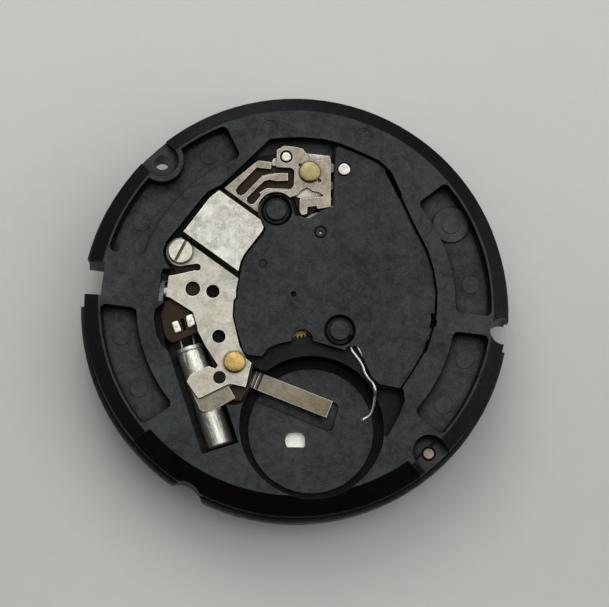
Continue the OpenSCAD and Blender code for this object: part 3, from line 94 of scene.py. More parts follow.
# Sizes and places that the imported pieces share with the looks, in millimetres and degrees
CAN_START = (-4.89, -2.61, 1.38)
CAN_ANGLE = -64.5
CAN_LENGTH = 5.1
CAN_RADIUS = 0.65
CAP_RADIUS = 0.68
STUD_RADIUS = 0.52
STUD_HEAD = 0.22
STUD_SHANK_RADIUS = 0.25
BOARD_TOP = 2.05
PAD_HEIGHT = 0.06
PAD_ROUNDING = 0.09
PADS = (
    ((-5.88, -1.62), (-5.61, -2.15), (-5.3, -1.96), (-5.56, -1.46)),
    ((-5.24, -1.22), (-5.01, -1.82), (-4.67, -1.54), (-4.88, -1.02)),
)
ARM_ROOT = (-1.44, -3.76)
ARM_ANGLE = -14.5
COIL_ANGLE = -15

# Sunk rings and discs in millimetres: place, inner and outer radius, top and, with some, bottom
# The well's groove, the pockets' outer edges, the sunk bays and the tab's hole mark painted shade; the
# ejector spots are paler moulding marks
WELL_GROOVE = ((1.5, -5.8), 3.03, 3.5, 0.62)
POCKET_EDGE = ((0, 0), 9.3, 9.47, 1.9, 1.72)
SUNK_BAYS = ((0, 0), 0.0, 7.6, 2.34, 1.0)
TAB_HOLE = ((-3.21, -4), 0.0, 0.33, 2.16)
EJECTOR_SPOTS = (
    ((8.44, -1.52), 0.0, 0.42, 1.82), ((7.66, -3.85), 0.0, 0.42, 1.82),
    ((8.29, 2.18), 0.0, 0.42, 1.82), ((6.98, 4.98), 0.0, 0.84, 2.0),
)

# The wire spring, in millimetres
WIRE_RADIUS = 0.075
WIRE_Z = 2.08
WIRE_ROUTE = (
    (3.67, -2.21, WIRE_Z), (3.5, -1.97, WIRE_Z), (3.29, -1.7, WIRE_Z), (3.17, -1.45, WIRE_Z),
    (3.0, -1.3, WIRE_Z), (2.86, -1.45, WIRE_Z), (2.9, -1.7, WIRE_Z), (3.04, -1.92, WIRE_Z),
    (3.41, -2.29, WIRE_Z), (3.6, -2.55, WIRE_Z), (3.72, -2.82, WIRE_Z), (3.95, -3.1, WIRE_Z),
    (4.18, -3.3, WIRE_Z), (4.29, -3.55, WIRE_Z), (4.33, -3.72, 1.99), (4.35, -3.9, 1.86),
    (4.33, -4.45, 1.6), (4.2, -4.8, 1.45), (3.83, -5.06, 1.4),
)

# The picture in pixels, the height in millimetres that is aimed at, and the way back to the camera
PHOTO_WIDTH = 609.0
PHOTO_MIDDLE = (304.5, 303.5)
HANDS_AXIS = (296.05, 304.7)
PIXELS_PER_MM = 20.7
AIM_HEIGHT = 2.3
VIEW_FROM = (-0.030, -0.1736, 0.984)

# The camera's sensor in millimetres, and the lamp and half the table's width in metres
SENSOR_WIDTH = 36.0
LAMP_PLACE = (-0.05, 0.18, 0.17)
TABLE_REACH = 1.6

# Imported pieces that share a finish
WHEELS = ("fifth_wheel", "third_wheel", "seconds_wheel", "centre_wheel", "minute_wheel", "hour_wheel")
PINIONS = ("fifth_pinion", "third_pinion", "seconds_arbor", "cannon_pinion")


# Sizes and colours


def colour_setting(name, description, value):
    return FloatVectorProperty(
        name=name, description=description, subtype="COLOR", default=value, min=0, max=1)


def length_setting(name, description, value, low, high):
    return FloatProperty(
        name=name, description=description, subtype="DISTANCE", unit="LENGTH",
        default=value, min=low, max=high)


def number_setting(name, description, value, high, subtype="NONE"):
    return FloatProperty(
        name=name, description=description, subtype=subtype, default=value, min=0, max=high)


class PlasticSettings(bpy.types.PropertyGroup):
    """Moulded black parts"""

    plate_colour: colour_setting("Plate", "Colour of the main plate", (0.0034, 0.0068, 0.0078))
    bridge_colour: colour_setting("Bridge", "Colour of the train bridge", (0.0038, 0.007, 0.0072))
    board_colour: colour_setting("Board", "Colour of the circuit board", (0.029, 0.0158, 0.0085))
    grain_size: length_setting("Grain", "Size of the moulding grain", 0.00009, 0.00001, 0.001)
    roughness: number_setting("Roughness", "Roughness of the moulded faces", 0.37, 1, "FACTOR")


class SteelSettings(bpy.types.PropertyGroup):
    """Stamped sheets and the crystal's can"""

    cover_colour: colour_setting("Cover", "Colour of the stamped cover", (0.42, 0.405, 0.355))
    contact_colour: colour_setting("Contacts", "Colour of the contact sheets", (0.205, 0.188, 0.145))
    can_colour: colour_setting("Can", "Colour of the crystal's can", (0.74, 0.737, 0.635))
    sheet_roughness: number_setting("Roughness", "Roughness of the rolled sheet", 0.3, 1, "FACTOR")
    patch_size: length_setting("Patches", "Size of the cloudy patches on the sheet", 0.0012, 0.0001, 0.01)


class HardwareSettings(bpy.types.PropertyGroup):
    """Screw, studs, pins and the wire spring"""

    brass_colour: colour_setting("Brass", "Colour of the turned brass", (0.46, 0.325, 0.11))
    dull_brass_colour: colour_setting(
        "Dull brass", "Colour of the stud nearer the upper contact", (0.345, 0.29, 0.135))
    pin_colour: colour_setting("Pins", "Colour of the turned steel", (0.55, 0.53, 0.48))
    dowel_colour: colour_setting("Dowel", "Colour of the dowel beside the dial foot", (0.36, 0.27, 0.235))
    screw_colour: colour_setting("Screw", "Colour of the cover screw", (0.475, 0.46, 0.385))
    dome: length_setting("Crown", "Height of the crown on the studs' heads", 0.00003, 0, 0.0001)
    turning_steps: IntProperty(
        name="Steps", description="Steps of each turned shape", default=72, min=16, max=256,
    )


class TrainSettings(bpy.types.PropertyGroup):
    """Wheels, pinions and the motor"""

    wheel_colour: colour_setting("Wheels", "Colour of the brass wheels", (0.72, 0.55, 0.2))
    pinion_colour: colour_setting("Pinions", "Colour of the cut steel", (0.56, 0.56, 0.56))
    copper_colour: colour_setting("Copper", "Colour of the enamelled wire", (0.45, 0.14, 0.045))
    wire_pitch: length_setting("Pitch", "Pitch of the coil's turns", 0.00004, 0.00001, 0.0005)


class StageSettings(bpy.types.PropertyGroup):
    """Table, lights and camera"""

    table_colour: colour_setting("Table", "Colour of the table", (0.566, 0.576, 0.547))
    overhead: number_setting("Overhead", "Brightness of the patch of light overhead", 1.15, 3)
    sides: number_setting("Sides", "Brightness of the two low side lights", 1.4, 3)
    fill: number_setting("Fill", "Brightness of the light from the picture's right", 0.85, 3)
    ambient: number_setting("Ambient", "Brightness of the rest of the room", 0.085, 1)
    lamp_power: FloatProperty(
        name="Lamp", description="Power of the soft lamp", subtype="POWER", unit="POWER",
        default=0.18, min=0, max=10,
    )
    lamp_width: length_setting("Lamp width", "Width of the soft lamp", 0.16, 0.01, 1)
    camera_distance: length_setting("Distance", "Distance of the camera", 0.16, 0.05, 1)
    picture_turn: FloatProperty(
        name="Turn", description="Turn of the movement in the picture", subtype="ANGLE",
        default=math.radians(7.2),
    )


class MovementSettings(bpy.types.PropertyGroup):
    """All sizes and colours of the movement's looks"""

    plastic: PointerProperty(type=PlasticSettings)
    steel: PointerProperty(type=SteelSettings)
    hardware: PointerProperty(type=HardwareSettings)
    train: PointerProperty(type=TrainSettings)
    stage: PointerProperty(type=StageSettings)


def settings():
    return bpy.context.scene.movement_looks


# Shared effects


def tint(colour, share):
    """A colour made darker or paler by one factor."""
    return tuple(min(1, part * share) for part in colour)


class Nodes:
    """Short ways to add and join nodes in one tree."""

    def __init__(self, tree):
        self.tree = tree

    def add(self, kind, **values):
        node = self.tree.nodes.new(kind)
        for name, value in values.items():
            setattr(node, name, value)
        return node

    def join(self, out, into):
        self.tree.links.new(out, into)

    def put(self, value, socket):
        """Sets a socket to a number or a tuple, or joins a node's output to it."""
        if isinstance(value, (int, float, tuple)):
            socket.default_value = value
        else:
            self.join(value, socket)

    def math(self, operation, a, b=None, clamp=False):
        node = self.add("ShaderNodeMath", operation=operation, use_clamp=clamp)
        self.put(a, node.inputs[0])
        if b is not None:
            self.put(b, node.inputs[1])
        return node.outputs[0]

    def times(self, a, b, clamp=False):
        return self.math("MULTIPLY", a, b, clamp)

    def plus(self, a, b, clamp=False):
        return self.math("ADD", a, b, clamp)

    def minus(self, a, b, clamp=False):
        return self.math("SUBTRACT", a, b, clamp)

    def dot(self, a, b):
        """Dot product of two vectors."""
        node = self.add("ShaderNodeVectorMath", operation="DOT_PRODUCT")
        self.put(a, node.inputs[0])
        self.put(b, node.inputs[1])
        return node.outputs["Value"]

    def part(self, vector, axis):
        """The X, Y or Z part of a vector."""
        split = self.add("ShaderNodeSeparateXYZ")
        self.join(vector, split.inputs[0])
        return split.outputs[axis]

    def normal(self):
        """The face's own normal."""
        return self.add("ShaderNodeNewGeometry").outputs["Normal"]

    def mapped(self, vector, place=(0, 0, 0), turn=0.0, scale=(1, 1, 1), kind="POINT"):
        """A vector that is scaled, turned about Z by an angle in radians, and moved."""
        node = self.add("ShaderNodeMapping", vector_type=kind)
        node.inputs["Location"].default_value = place
        node.inputs["Rotation"].default_value = (0, 0, turn)
        node.inputs["Scale"].default_value = scale
        self.join(vector, node.inputs["Vector"])
        return node.outputs[0]

    def ramp(self, value, low, high, to_low=0.0, to_high=1.0):
        node = self.add("ShaderNodeMapRange", clamp=True)
        self.join(value, node.inputs["Value"])
        node.inputs["From Min"].default_value = low
        node.inputs["From Max"].default_value = high
        node.inputs["To Min"].default_value = to_low
        node.inputs["To Max"].default_value = to_high
        return node.outputs[0]

    def mix(self, share, a, b):
        """Mixes two colours, each a tuple of three numbers or a node's output."""
        node = self.add("ShaderNodeMix", data_type="RGBA")
        self.put(share, node.inputs[0])
        for socket, value in ((node.inputs[6], a), (node.inputs[7], b)):
            self.put((*value, 1) if isinstance(value, tuple) else value, socket)
        return node.outputs[2]

    def noise(self, vector, scale, detail=3.0, rough=0.5, distortion=0.0):
        node = self.add("ShaderNodeTexNoise")
        self.join(vector, node.inputs["Vector"])
        self.put(scale, node.inputs["Scale"])
        node.inputs["Detail"].default_value = detail
        node.inputs["Roughness"].default_value = rough
        node.inputs["Distortion"].default_value = distortion
        return node.outputs["Fac"]

    def wave(self, vector, scale, distortion, **values):
        node = self.add("ShaderNodeTexWave", **values)
        node.inputs["Scale"].default_value = scale
        node.inputs["Distortion"].default_value = distortion
        self.join(vector, node.inputs["Vector"])
        return node.outputs["Fac"]


def node_group(name, inputs, outputs):
    """Turns a function that fills a tree into one that gives the shader node group, which is made once.

    An input without a value takes a vector, and an output named Normal gives one. All others are numbers.
    """
    def wrap(fill):
        def tree_of_group():
            tree = bpy.data.node_groups.get(name)
            if tree:
                return tree
            tree = bpy.data.node_groups.new(name, "ShaderNodeTree")
            for socket, value in inputs.items():
                kind = "NodeSocketVector" if value is None else "NodeSocketFloat"
                made = tree.interface.new_socket(socket, in_out="INPUT", socket_type=kind)
                if value is not None:
                    made.default_value = value
            for socket in outputs:
                kind = "NodeSocketVector" if socket == "Normal" else "NodeSocketFloat"
                tree.interface.new_socket(socket, in_out="OUTPUT", socket_type=kind)
            n = Nodes(tree)
            fill(n, n.add("NodeGroupInput").outputs, n.add("NodeGroupOutput").inputs)
            return tree
        return tree_of_group
    return wrap


@node_group("Moulding grain", {"Vector": None, "Size": 0.0001}, ("Height", "Clouds", "Broad", "Specks"))
def grain_group(n, given, out):
    """Fine moulding grain with small and broad clouds, for moulded and rolled faces."""
    fine = n.math("DIVIDE", 1.0, given["Size"])
    vector = given["Vector"]
    n.join(n.noise(vector, fine, 3.0, 0.6), out["Height"])
    n.join(n.ramp(n.noise(vector, n.times(fine, 0.26), 5.0, 0.62, 0.3), 0.3, 0.7), out["Clouds"])
    n.join(n.ramp(n.noise(vector, n.times(fine, 0.05), 4.0, 0.55, 0.6), 0.35, 0.68), out["Broad"])
    n.join(n.ramp(n.noise(vector, n.times(fine, 0.6), 1.0, 0.5), 0.74, 0.8), out["Specks"])


@node_group("Softened edge", {}, ("Normal", "Edge"))
def edge_group(n, given, out):
    """Softened edges: the rounded normal and a mask of where the edges are."""
    soft = n.add("ShaderNodeBevel", samples=6)
    soft.inputs["Radius"].default_value = 0.03 * MM
    wide = n.add("ShaderNodeBevel", samples=6)
    wide.inputs["Radius"].default_value = 0.07 * MM
    likeness = n.dot(wide.outputs["Normal"], n.normal())
    n.join(soft.outputs["Normal"], out["Normal"])
    n.join(n.ramp(likeness, 0.995, 0.85), out["Edge"])


@node_group("Crevices and walls", {}, ("Open", "Level"))
def crevice_group(n, given, out):
    """Masks for painted shade: one on open faces and on level faces, and falling in crevices and on walls,
    where the finishes paint shade.
    """
    masks = []
    for reach, low, high in ((0.6, 0.42, 0.78), (0.22, 0.5, 0.84)):
        around = n.add("ShaderNodeAmbientOcclusion", samples=6)
        around.inputs["Distance"].default_value = reach * MM
        masks.append(n.ramp(around.outputs["AO"], low, high))
    n.join(n.times(masks[0], masks[1]), out["Open"])
    n.join(n.ramp(n.math("ABSOLUTE", n.part(n.normal(), "Z")), 0.9, 0.998), out["Level"])


@node_group("Handling scratches", {"Vector": None, "Amount": 0.5}, ("Scratches",))
def scratch_group(n, given, out):
    """Fine handling scratches in three directions."""
    found = None
    for turn, scale in ((0.5, 500.0), (-0.9, 700.0), (1.9, 420.0)):
        way = n.mapped(given["Vector"], turn=turn, scale=(0.7, 7.0, 1.0))
        lines = n.noise(way, scale, 1.0, 0.5, 0.6)
        lines = n.ramp(n.math("ABSOLUTE", n.minus(lines, 0.5)), 0.014, 0.004)
        cover = n.ramp(n.noise(given["Vector"], scale * 1.6, 2.0), 0.58, 0.66)
        lines = n.times(lines, cover)
        found = lines if found is None else n.math("MAXIMUM", found, lines)
    n.join(n.times(found, given["Amount"], clamp=True), out["Scratches"])


@node_group("Settled dust", {"Vector": None, "Amount": 0.3}, ("Dust",))
def dust_group(n, given, out):
    """Dust and lint that lies on faces that look up."""
    up = n.ramp(n.part(n.normal(), "Z"), 0.6, 0.95)
    grains = n.add("ShaderNodeTexVoronoi", feature="F1")
    grains.inputs["Scale"].default_value = 2600.0
    n.join(given["Vector"], grains.inputs["Vector"])
    dots = n.ramp(grains.outputs["Distance"], 0.16, 0.06)
    where = n.ramp(n.noise(given["Vector"], 900.0, 3.0), 0.5, 0.68)
    veil = n.ramp(n.noise(given["Vector"], 260.0, 5.0, 0.65), 0.45, 0.8, 0.0, 0.35)
    total = n.times(n.plus(n.times(dots, where), veil), up)
    n.join(n.times(total, given["Amount"], clamp=True), out["Dust"])


@node_group("Stamped sheet", {"Vector": None, "Patch size": 0.001}, ("Height", "Patches", "Stains"))
def sheet_group(n, given, out):
    """Cloudy, slightly wavy face of thin stamped sheet."""
    scale = n.math("DIVIDE", 1.0, given["Patch size"])
    vector = given["Vector"]
    waves = n.noise(vector, n.times(scale, 0.7), 2.0, 0.45, 0.3)
    ripples = n.noise(vector, n.times(scale, 3.2), 2.0, 0.5, 0.6)
    n.join(n.plus(waves, n.times(ripples, 0.22)), out["Height"])
    n.join(n.ramp(n.noise(vector, n.times(scale, 1.7), 5.0, 0.62, 0.8), 0.36, 0.66), out["Patches"])
    n.join(n.ramp(n.noise(vector, n.times(scale, 0.55), 4.0, 0.6, 0.5), 0.42, 0.72), out["Stains"])


# Materials

# A wave texture with this scale repeats about once a metre
WAVES_PER_PITCH = 0.3


class Finish:
    """A new material with its Principled shader and the sockets that most finishes share."""

    def __init__(self, name, metallic=0.0, roughness=0.5, **values):
        self.material = bpy.data.materials.new(name)
        self.material.use_nodes = True
        tree = self.material.node_tree
        tree.nodes.clear()
        self.n = Nodes(tree)
        self.shader = self.n.add("ShaderNodeBsdfPrincipled")
        self.out = self.n.add("ShaderNodeOutputMaterial")
        self.n.join(self.shader.outputs[0], self.out.inputs["Surface"])
        self.shader.inputs["Metallic"].default_value = metallic
        self.shader.inputs["Roughness"].default_value = roughness
        for socket, value in values.items():
            self.shader.inputs[socket.replace("_", " ")].default_value = value
        self.vector = self.n.add("ShaderNodeTexCoord").outputs["Object"]

    def group(self, tree, **values):
        node = self.n.add("ShaderNodeGroup", node_tree=tree)
        if "Vector" in node.inputs:
            self.n.join(self.vector, node.inputs["Vector"])
        for socket, value in values.items():
            node.inputs[socket.replace("_", " ")].default_value = value
        return node.outputs

    def skin(self, grain, scratches):
        """The grain's outputs, the softened edge's outputs, and the scratches' mask."""
        marks = self.group(scratch_group(), Amount=scratches)["Scratches"]
        return self.group(grain_group(), Size=grain), self.group(edge_group()), marks

    def across(self, place, angle):
        """Distance from a place, given in millimetres, along a line at an angle in degrees."""
        start = (place[0] * MM, place[1] * MM, 0)
        return self.n.part(self.n.mapped(self.vector, start, math.radians(angle), kind="TEXTURE"), "X")

    def ring(self, place, inner, outer, top, bottom=None):
        """Mask of a sunk ring or disc round a place, below one height and above another; in millimetres."""
        n = self.n
        flat = n.mapped(self.vector, (-place[0] * MM, -place[1] * MM, 0), scale=(1, 1, 0))
        length = n.add("ShaderNodeVectorMath", operation="LENGTH")
        n.join(flat, length.inputs[0])
        radius = length.outputs["Value"]
        height = n.part(self.vector, "Z")
        low = n.ramp(height, (top + 0.01) * MM, (top - 0.01) * MM)
        if bottom is not None:
            low = n.times(low, n.ramp(height, bottom * MM, (bottom + 0.02) * MM))
        inside = n.ramp(radius, (outer + 0.02) * MM, outer * MM)
        if inner > 0:
            inside = n.times(inside, n.ramp(radius, inner * MM, (inner + 0.02) * MM))
        return n.times(inside, low)

    def colour(self, source):
        self.n.join(source, self.shader.inputs["Base Color"])

    def rough(self, source):
        self.n.join(source, self.shader.inputs["Roughness"])

    def bump(self, height, distance, normal=None):
        node = self.n.add("ShaderNodeBump")
        node.inputs["Strength"].default_value = 1.0
        node.inputs["Distance"].default_value = distance
        self.n.join(height, node.inputs["Height"])
        if normal is not None:
            self.n.join(normal, node.inputs["Normal"])
        self.n.join(node.outputs[0], self.shader.inputs["Normal"])


def moulded_plastic(
        name, colour, roughness, grain, dust=0.25, scratches=0.35, gloss=0.41, spots=(), painted_shades=()):
    """Black moulding: satin and mottled where level, with painted shade on walls and in crevices, and paler
    edges, partly from wear and partly a painted highlight.

    spots are sunk discs that are paler, and shades are sunk rings with the share of painted shade that
    darkens them.
    """
    f = Finish(name, roughness=roughness, Specular_IOR_Level=0.08, Coat_Roughness=roughness + 0.02)
    n = f.n
    moulded, edge, marks = f.skin(grain, scratches)
    dust_mask = f.group(dust_group(), Amount=dust)["Dust"]
    # Painted shade: these masks fall on walls, in crevices and in the sunk rings in shades; there the
    # colour darkens and scratches, dust and gloss fade
    place = f.group(crevice_group())
    lit = n.times(place["Open"], place["Level"])
    for sunk, share in painted_shades:
        lit = n.times(lit, n.minus(1.0, n.times(f.ring(*sunk), share)))
    tone = n.plus(n.times(moulded["Clouds"], 0.6), n.times(moulded["Broad"], 0.4))
    painted_shade_colour = tuple(min(colour) * part for part in (0.35, 0.34, 0.26))
    spot_colour = (0.017, 0.0195, 0.0205)
    scratch_colour = (0.035, 0.04, 0.042)
    dust_colour = (0.13, 0.135, 0.13)
    body = n.mix(tone, tint(colour, 0.4), tint(colour, 1.8))
    body = n.mix(lit, painted_shade_colour, body)
    for spot in spots:
        body = n.mix(n.times(f.ring(*spot), 0.8), body, spot_colour)
    # Paler edges, partly from wear and partly a painted highlight
    body = n.mix(n.times(edge["Edge"], 0.4), body, tuple(part * 3 + 0.004 for part in colour))
    marks = n.times(marks, lit)
    body = n.mix(n.times(marks, 0.45), body, scratch_colour)
    f.colour(n.mix(n.times(n.times(dust_mask, lit), 0.3), body, dust_colour))
    rough = n.minus(roughness + 0.12, n.times(tone, 0.24))
    f.rough(n.minus(rough, n.times(marks, 0.1), clamp=True))
    sheen = n.ramp(tone, 0.0, 1.0, gloss * 0.34, gloss * 1.62)
    sheen = n.plus(sheen, n.ramp(moulded["Height"], 0.5, 0.7, 0.0, 0.36))
    sheen = n.times(sheen, n.ramp(moulded["Specks"], 0.0, 1.0, 1.0, 0.4))
    # Gloss kept on open level faces, with painted shade elsewhere, and on edges, partly from wear
    wear_and_painted_shade_gloss = n.math("MAXIMUM", lit, n.times(n.times(edge["Edge"], place["Open"]), 0.6))
    n.join(n.times(sheen, wear_and_painted_shade_gloss, clamp=True), f.shader.inputs["Coat Weight"])
    f.bump(n.plus(moulded["Height"], n.times(moulded["Clouds"], 1.5)), 0.0055 * MM, edge["Normal"])
    return f.material


def fibre_board(name, colour):
    """Dark brown laminate with a faint weave and a satin skin, paler edges, partly from wear and partly a
    painted highlight, and painted shade in crevices.
    """
    f = Finish(name, roughness=0.5, Specular_IOR_Level=0.13)
    n = f.n
    moulded = f.group(grain_group(), Size=0.12 * MM)
    edge = f.group(edge_group())
    weave = [n.wave(n.mapped(f.vector, turn=turn), 3300.0, 1.2) for turn in (0.3, 0.3 + math.pi / 2)]
    threads = n.times(n.plus(weave[0], weave[1]), 0.5)
    body = n.mix(moulded["Clouds"], tint(colour, 0.7), tint(colour, 1.25))
    body = n.mix(n.times(threads, 0.3), body, tint(colour, 1.5))
    body = n.mix(n.times(edge["Edge"], 0.6), body, tint(colour, 2.4))
    # Painted shade in crevices
    open_face = f.group(crevice_group())["Open"]
    f.colour(n.mix(open_face, tint(colour, 0.2), body))
    f.rough(n.plus(0.42, n.times(moulded["Clouds"], 0.16)))
    f.bump(n.plus(moulded["Height"], n.times(threads, 0.4)), 0.004 * MM, edge["Normal"])
    return f.material


def stamped_steel(
        name, colour, roughness, patch, warmth=0.35, warm_painted_shade=None, folds=None, painted_highlight_height=None, shaded=None):
    """Rolled and stamped sheet: cloudy, with warm stains and fine scratches, painted shade in crevices and
    on tilted faces, and edges that are paler, partly from wear and partly a painted highlight.

    heated and folds are a place, an angle, a start and an end, in millimetres along that angle: where the
    sheet takes a warm tint with painted shade, and where its bends crease it, with painted shade and
    painted highlights on the creases. Above the height rubbed the sheet is lighter, a painted highlight,
    and in the disc shaded it has painted shade, nearly black.
    """
    f = Finish(name, metallic=1.0, roughness=roughness)
    n = f.n
    red, green, blue = colour
    sheet = f.group(sheet_group(), Patch_size=patch)
    moulded, edge, marks = f.skin(0.05 * MM, 0.9)
    place = f.group(crevice_group())
    tone = n.plus(n.times(sheet["Patches"], 0.62), n.times(moulded["Clouds"], 0.38))
    tone = n.plus(tone, n.ramp(moulded["Height"], 0.3, 0.7, -0.3, 0.3), clamp=True)
    body = n.mix(tone, tint(colour, 0.56), tint((red, green * 1.01, blue * 1.03), 1.28))
    body = n.mix(n.times(sheet["Stains"], warmth), body, (red * 0.98, green * 0.84, blue * 0.55))
    height = n.plus(sheet["Height"], n.times(moulded["Height"], 0.03))
    # Painted shade with a warm tint beyond a line: the sheet turns darker and coppery there
    if warm_painted_shade is not None:
        root, angle, first, last = warm_painted_shade
        share = n.ramp(f.across(root, angle), first * MM, last * MM, 0.0, 0.72)
        copper = n.mix(n.times(tone, 0.6), (red * 0.3, green * 0.24, blue * 0.19),
                       (red * 1.1, green * 0.95, blue * 0.85))
        body = n.mix(share, body, copper)
    # Painted highlight: above a height the sheet is lighter
    if painted_highlight_height is not None:
        share = n.ramp(n.part(f.vector, "Z"), (painted_highlight_height - 0.02) * MM, painted_highlight_height * MM, 0.0, 0.8)
        body = n.mix(share, body, n.mix(tone, tint(colour, 0.66), (0.68, 0.68, 0.62)))
    if folds is not None:
        root, angle, first, last = folds
        # The folds' dark band and the near-black lines at its ends are painted shade, and the lighter
        # crease lines are painted highlights; the crease also bumps the sheet
        fold_pitch, fade, line_width = 0.17, 0.04, 0.05
        line = f.across(root, angle)
        band = n.times(n.ramp(line, first * MM, (first + fade) * MM),
                       n.ramp(line, last * MM, (last - fade) * MM))
        crease = n.times(n.math("SINE", n.times(line, 2 * math.pi / (fold_pitch * MM))), band)
        body = n.mix(n.times(band, 0.7), body, (0.07, 0.062, 0.042))
        body = n.mix(n.ramp(crease, 0.75, 0.95), body, (0.62, 0.6, 0.52))
        for end_line in (first, last):
            distance = n.math("ABSOLUTE", n.minus(line, end_line * MM))
            body = n.mix(n.ramp(distance, line_width * MM, 0.02 * MM), body, (0.008, 0.007, 0.005))
        height = n.plus(height, n.times(crease, 0.5))
    body = n.mix(n.times(moulded["Specks"], 0.4), body, tint(colour, 0.4))
    # Painted shade, nearly black, in the disc
    if shaded is not None:
        body = n.mix(f.ring(*shaded), body, (0.012, 0.011, 0.008))
    # Painted shade: tilted faces darker and crevices darker still; edges paler, partly from wear and partly
    # a painted highlight that is brighter on level faces
    body = n.mix(place["Level"], (red * 0.16, green * 0.15, blue * 0.1), body)
    edge_wear_and_painted_highlight = n.times(edge["Edge"], n.ramp(place["Level"], 0.0, 1.0, 0.1, 0.6))
    body = n.mix(edge_wear_and_painted_highlight, body, (0.9, 0.88, 0.82))
    f.colour(n.mix(place["Open"], tint(colour, 0.08), body))
    rough = n.plus(roughness - 0.07, n.times(tone, 0.2))
    f.rough(n.plus(rough, n.times(marks, 0.1), clamp=True))
    f.bump(n.minus(height, n.times(marks, 0.03)), 0.03 * MM, edge["Normal"])
    return f.material


def drawn_can(name, colour):
    """Bright drawn can: long streaks along its length, small dents, a few scuffs and paler edges, partly
    from wear and partly a painted highlight.
    """
    f = Finish(name, metallic=0.85, roughness=0.4)
    n = f.n
    start = tuple(part * MM for part in CAN_START)
    way = n.mapped(f.vector, start, math.radians(CAN_ANGLE), kind="TEXTURE")
    streaks = n.noise(n.mapped(way, scale=(0.22, 1.0, 1.0)), 3000.0, 5.0, 0.65, 0.4)
    dents = n.noise(f.vector, 1500.0, 2.0, 0.5, 0.4)
    scuffs = n.ramp(n.noise(f.vector, 2600.0, 5.0, 0.7, 1.0), 0.56, 0.66)
    edge = f.group(edge_group())
    marks = f.group(scratch_group(), Amount=1.0)["Scratches"]
    body = n.mix(n.ramp(streaks, 0.36, 0.62), tint(colour, 0.62), tint(colour, 1.14))
    body = n.mix(n.times(scuffs, 0.42), body, tint(colour, 0.45))
    f.colour(n.mix(n.times(edge["Edge"], 0.35), body, (0.88, 0.87, 0.82)))
    f.rough(n.plus(n.plus(0.34, n.times(scuffs, 0.16)), n.times(marks, 0.12)))
    f.bump(n.plus(streaks, n.times(dents, 0.8)), 0.06 * MM, edge["Normal"])
    return f.material


def turned_metal(name, colour, roughness, centre, ring_pitch=0.03, tarnish=0.3, sunk=True, depth=0.004):
    """Turned metal: fine rings about a centre, an edge paler partly from wear and partly as a painted
    highlight, a tarnish, and painted shade in crevices when sunk.

    ring_pitch and depth, the height of the bumps, are in millimetres.
    """
    f = Finish(name, metallic=1.0, roughness=roughness)
    n = f.n
    way = n.mapped(f.vector, (-centre[0], -centre[1], 0))
    rings = n.wave(way, WAVES_PER_PITCH / (ring_pitch * MM), 0.6, wave_type="RINGS", rings_direction="Z")
    moulded, edge, marks = f.skin(0.07 * MM, 0.8)
    body = n.mix(moulded["Clouds"], tint(colour, 0.7), tint(colour, 1.22))
    body = n.mix(n.times(moulded["Specks"], tarnish), body, tint(colour, 0.35))
    body = n.mix(n.times(edge["Edge"], 0.45), body, tint(colour, 1.35))
    # Painted shade in crevices
    if sunk:
        body = n.mix(f.group(crevice_group())["Open"], tint(colour, 0.06), body)
    f.colour(body)
    f.rough(n.plus(n.plus(roughness - 0.05, n.times(moulded["Clouds"], 0.16)), n.times(marks, 0.12)))
    height = n.plus(n.times(rings, 0.25), moulded["Height"])
    height = n.plus(height, n.times(moulded["Clouds"], 0.6))
    f.bump(height, depth * MM, edge["Normal"])
    return f.material


def plain_metal(name, colour, roughness, grain=0.06, dull=0.3, sunk=False):
    """Cut or stamped metal: an even fine grain, given in millimetres, dull clouds, an edge brighter partly
    from wear and partly as a painted highlight, and painted shade in crevices when sunk.
    """
    f = Finish(name, metallic=1.0, roughness=roughness)
    n = f.n
    moulded, edge, marks = f.skin(grain * MM, 0.7)
    body = n.mix(n.times(moulded["Clouds"], dull), colour, tint(colour, 0.6))
    body = n.mix(n.times(edge["Edge"], 0.5), body, tint(colour, 1.3))
    # Painted shade in crevices
    if sunk:
        body = n.mix(f.group(crevice_group())["Open"], tint(colour, 0.06), body)
    f.colour(body)
    f.rough(n.plus(n.plus(roughness - 0.05, n.times(moulded["Clouds"], 0.15)), n.times(marks, 0.1)))
    f.bump(moulded["Height"], 0.003 * MM, edge["Normal"])
    return f.material


def wound_copper(name, colour, pitch):
    """Enamelled copper turns laid side by side along the coil."""
    f = Finish(name, roughness=0.28, Coat_Weight=0.6, Coat_Roughness=0.2)
    n = f.n
    way = n.mapped(f.vector, turn=math.radians(COIL_ANGLE))
    turns = n.wave(way, WAVES_PER_PITCH / pitch, 0.4, bands_direction="Y")
    clouds = f.group(grain_group(), Size=0.1 * MM)["Clouds"]
    # Painted shade: darker bands between the turns
    body = n.mix(turns, tint(colour, 0.35), colour)
    f.colour(n.mix(n.times(clouds, 0.4), body, tint(colour, 1.4)))
    n.join(n.ramp(clouds, 0, 1, 0.55, 0.8), f.shader.inputs["Metallic"])
    f.bump(turns, 0.01 * MM)
    return f.material


def tinned_solder(name):
    """Bright tin with a wavy frozen skin and flux stains."""
    f = Finish(name, metallic=1.0, roughness=0.3)
    n = f.n
    moulded = f.group(grain_group(), Size=0.1 * MM)
    edge = f.group(edge_group())
    body = n.mix(moulded["Clouds"], (0.82, 0.81, 0.76), (0.5, 0.48, 0.4))
    f.colour(n.mix(n.times(moulded["Specks"], 0.6), body, (0.12, 0.1, 0.07)))
    f.rough(n.plus(0.24, n.times(moulded["Clouds"], 0.2)))
    f.bump(moulded["Height"], 0.012 * MM, edge["Normal"])
    return f.material


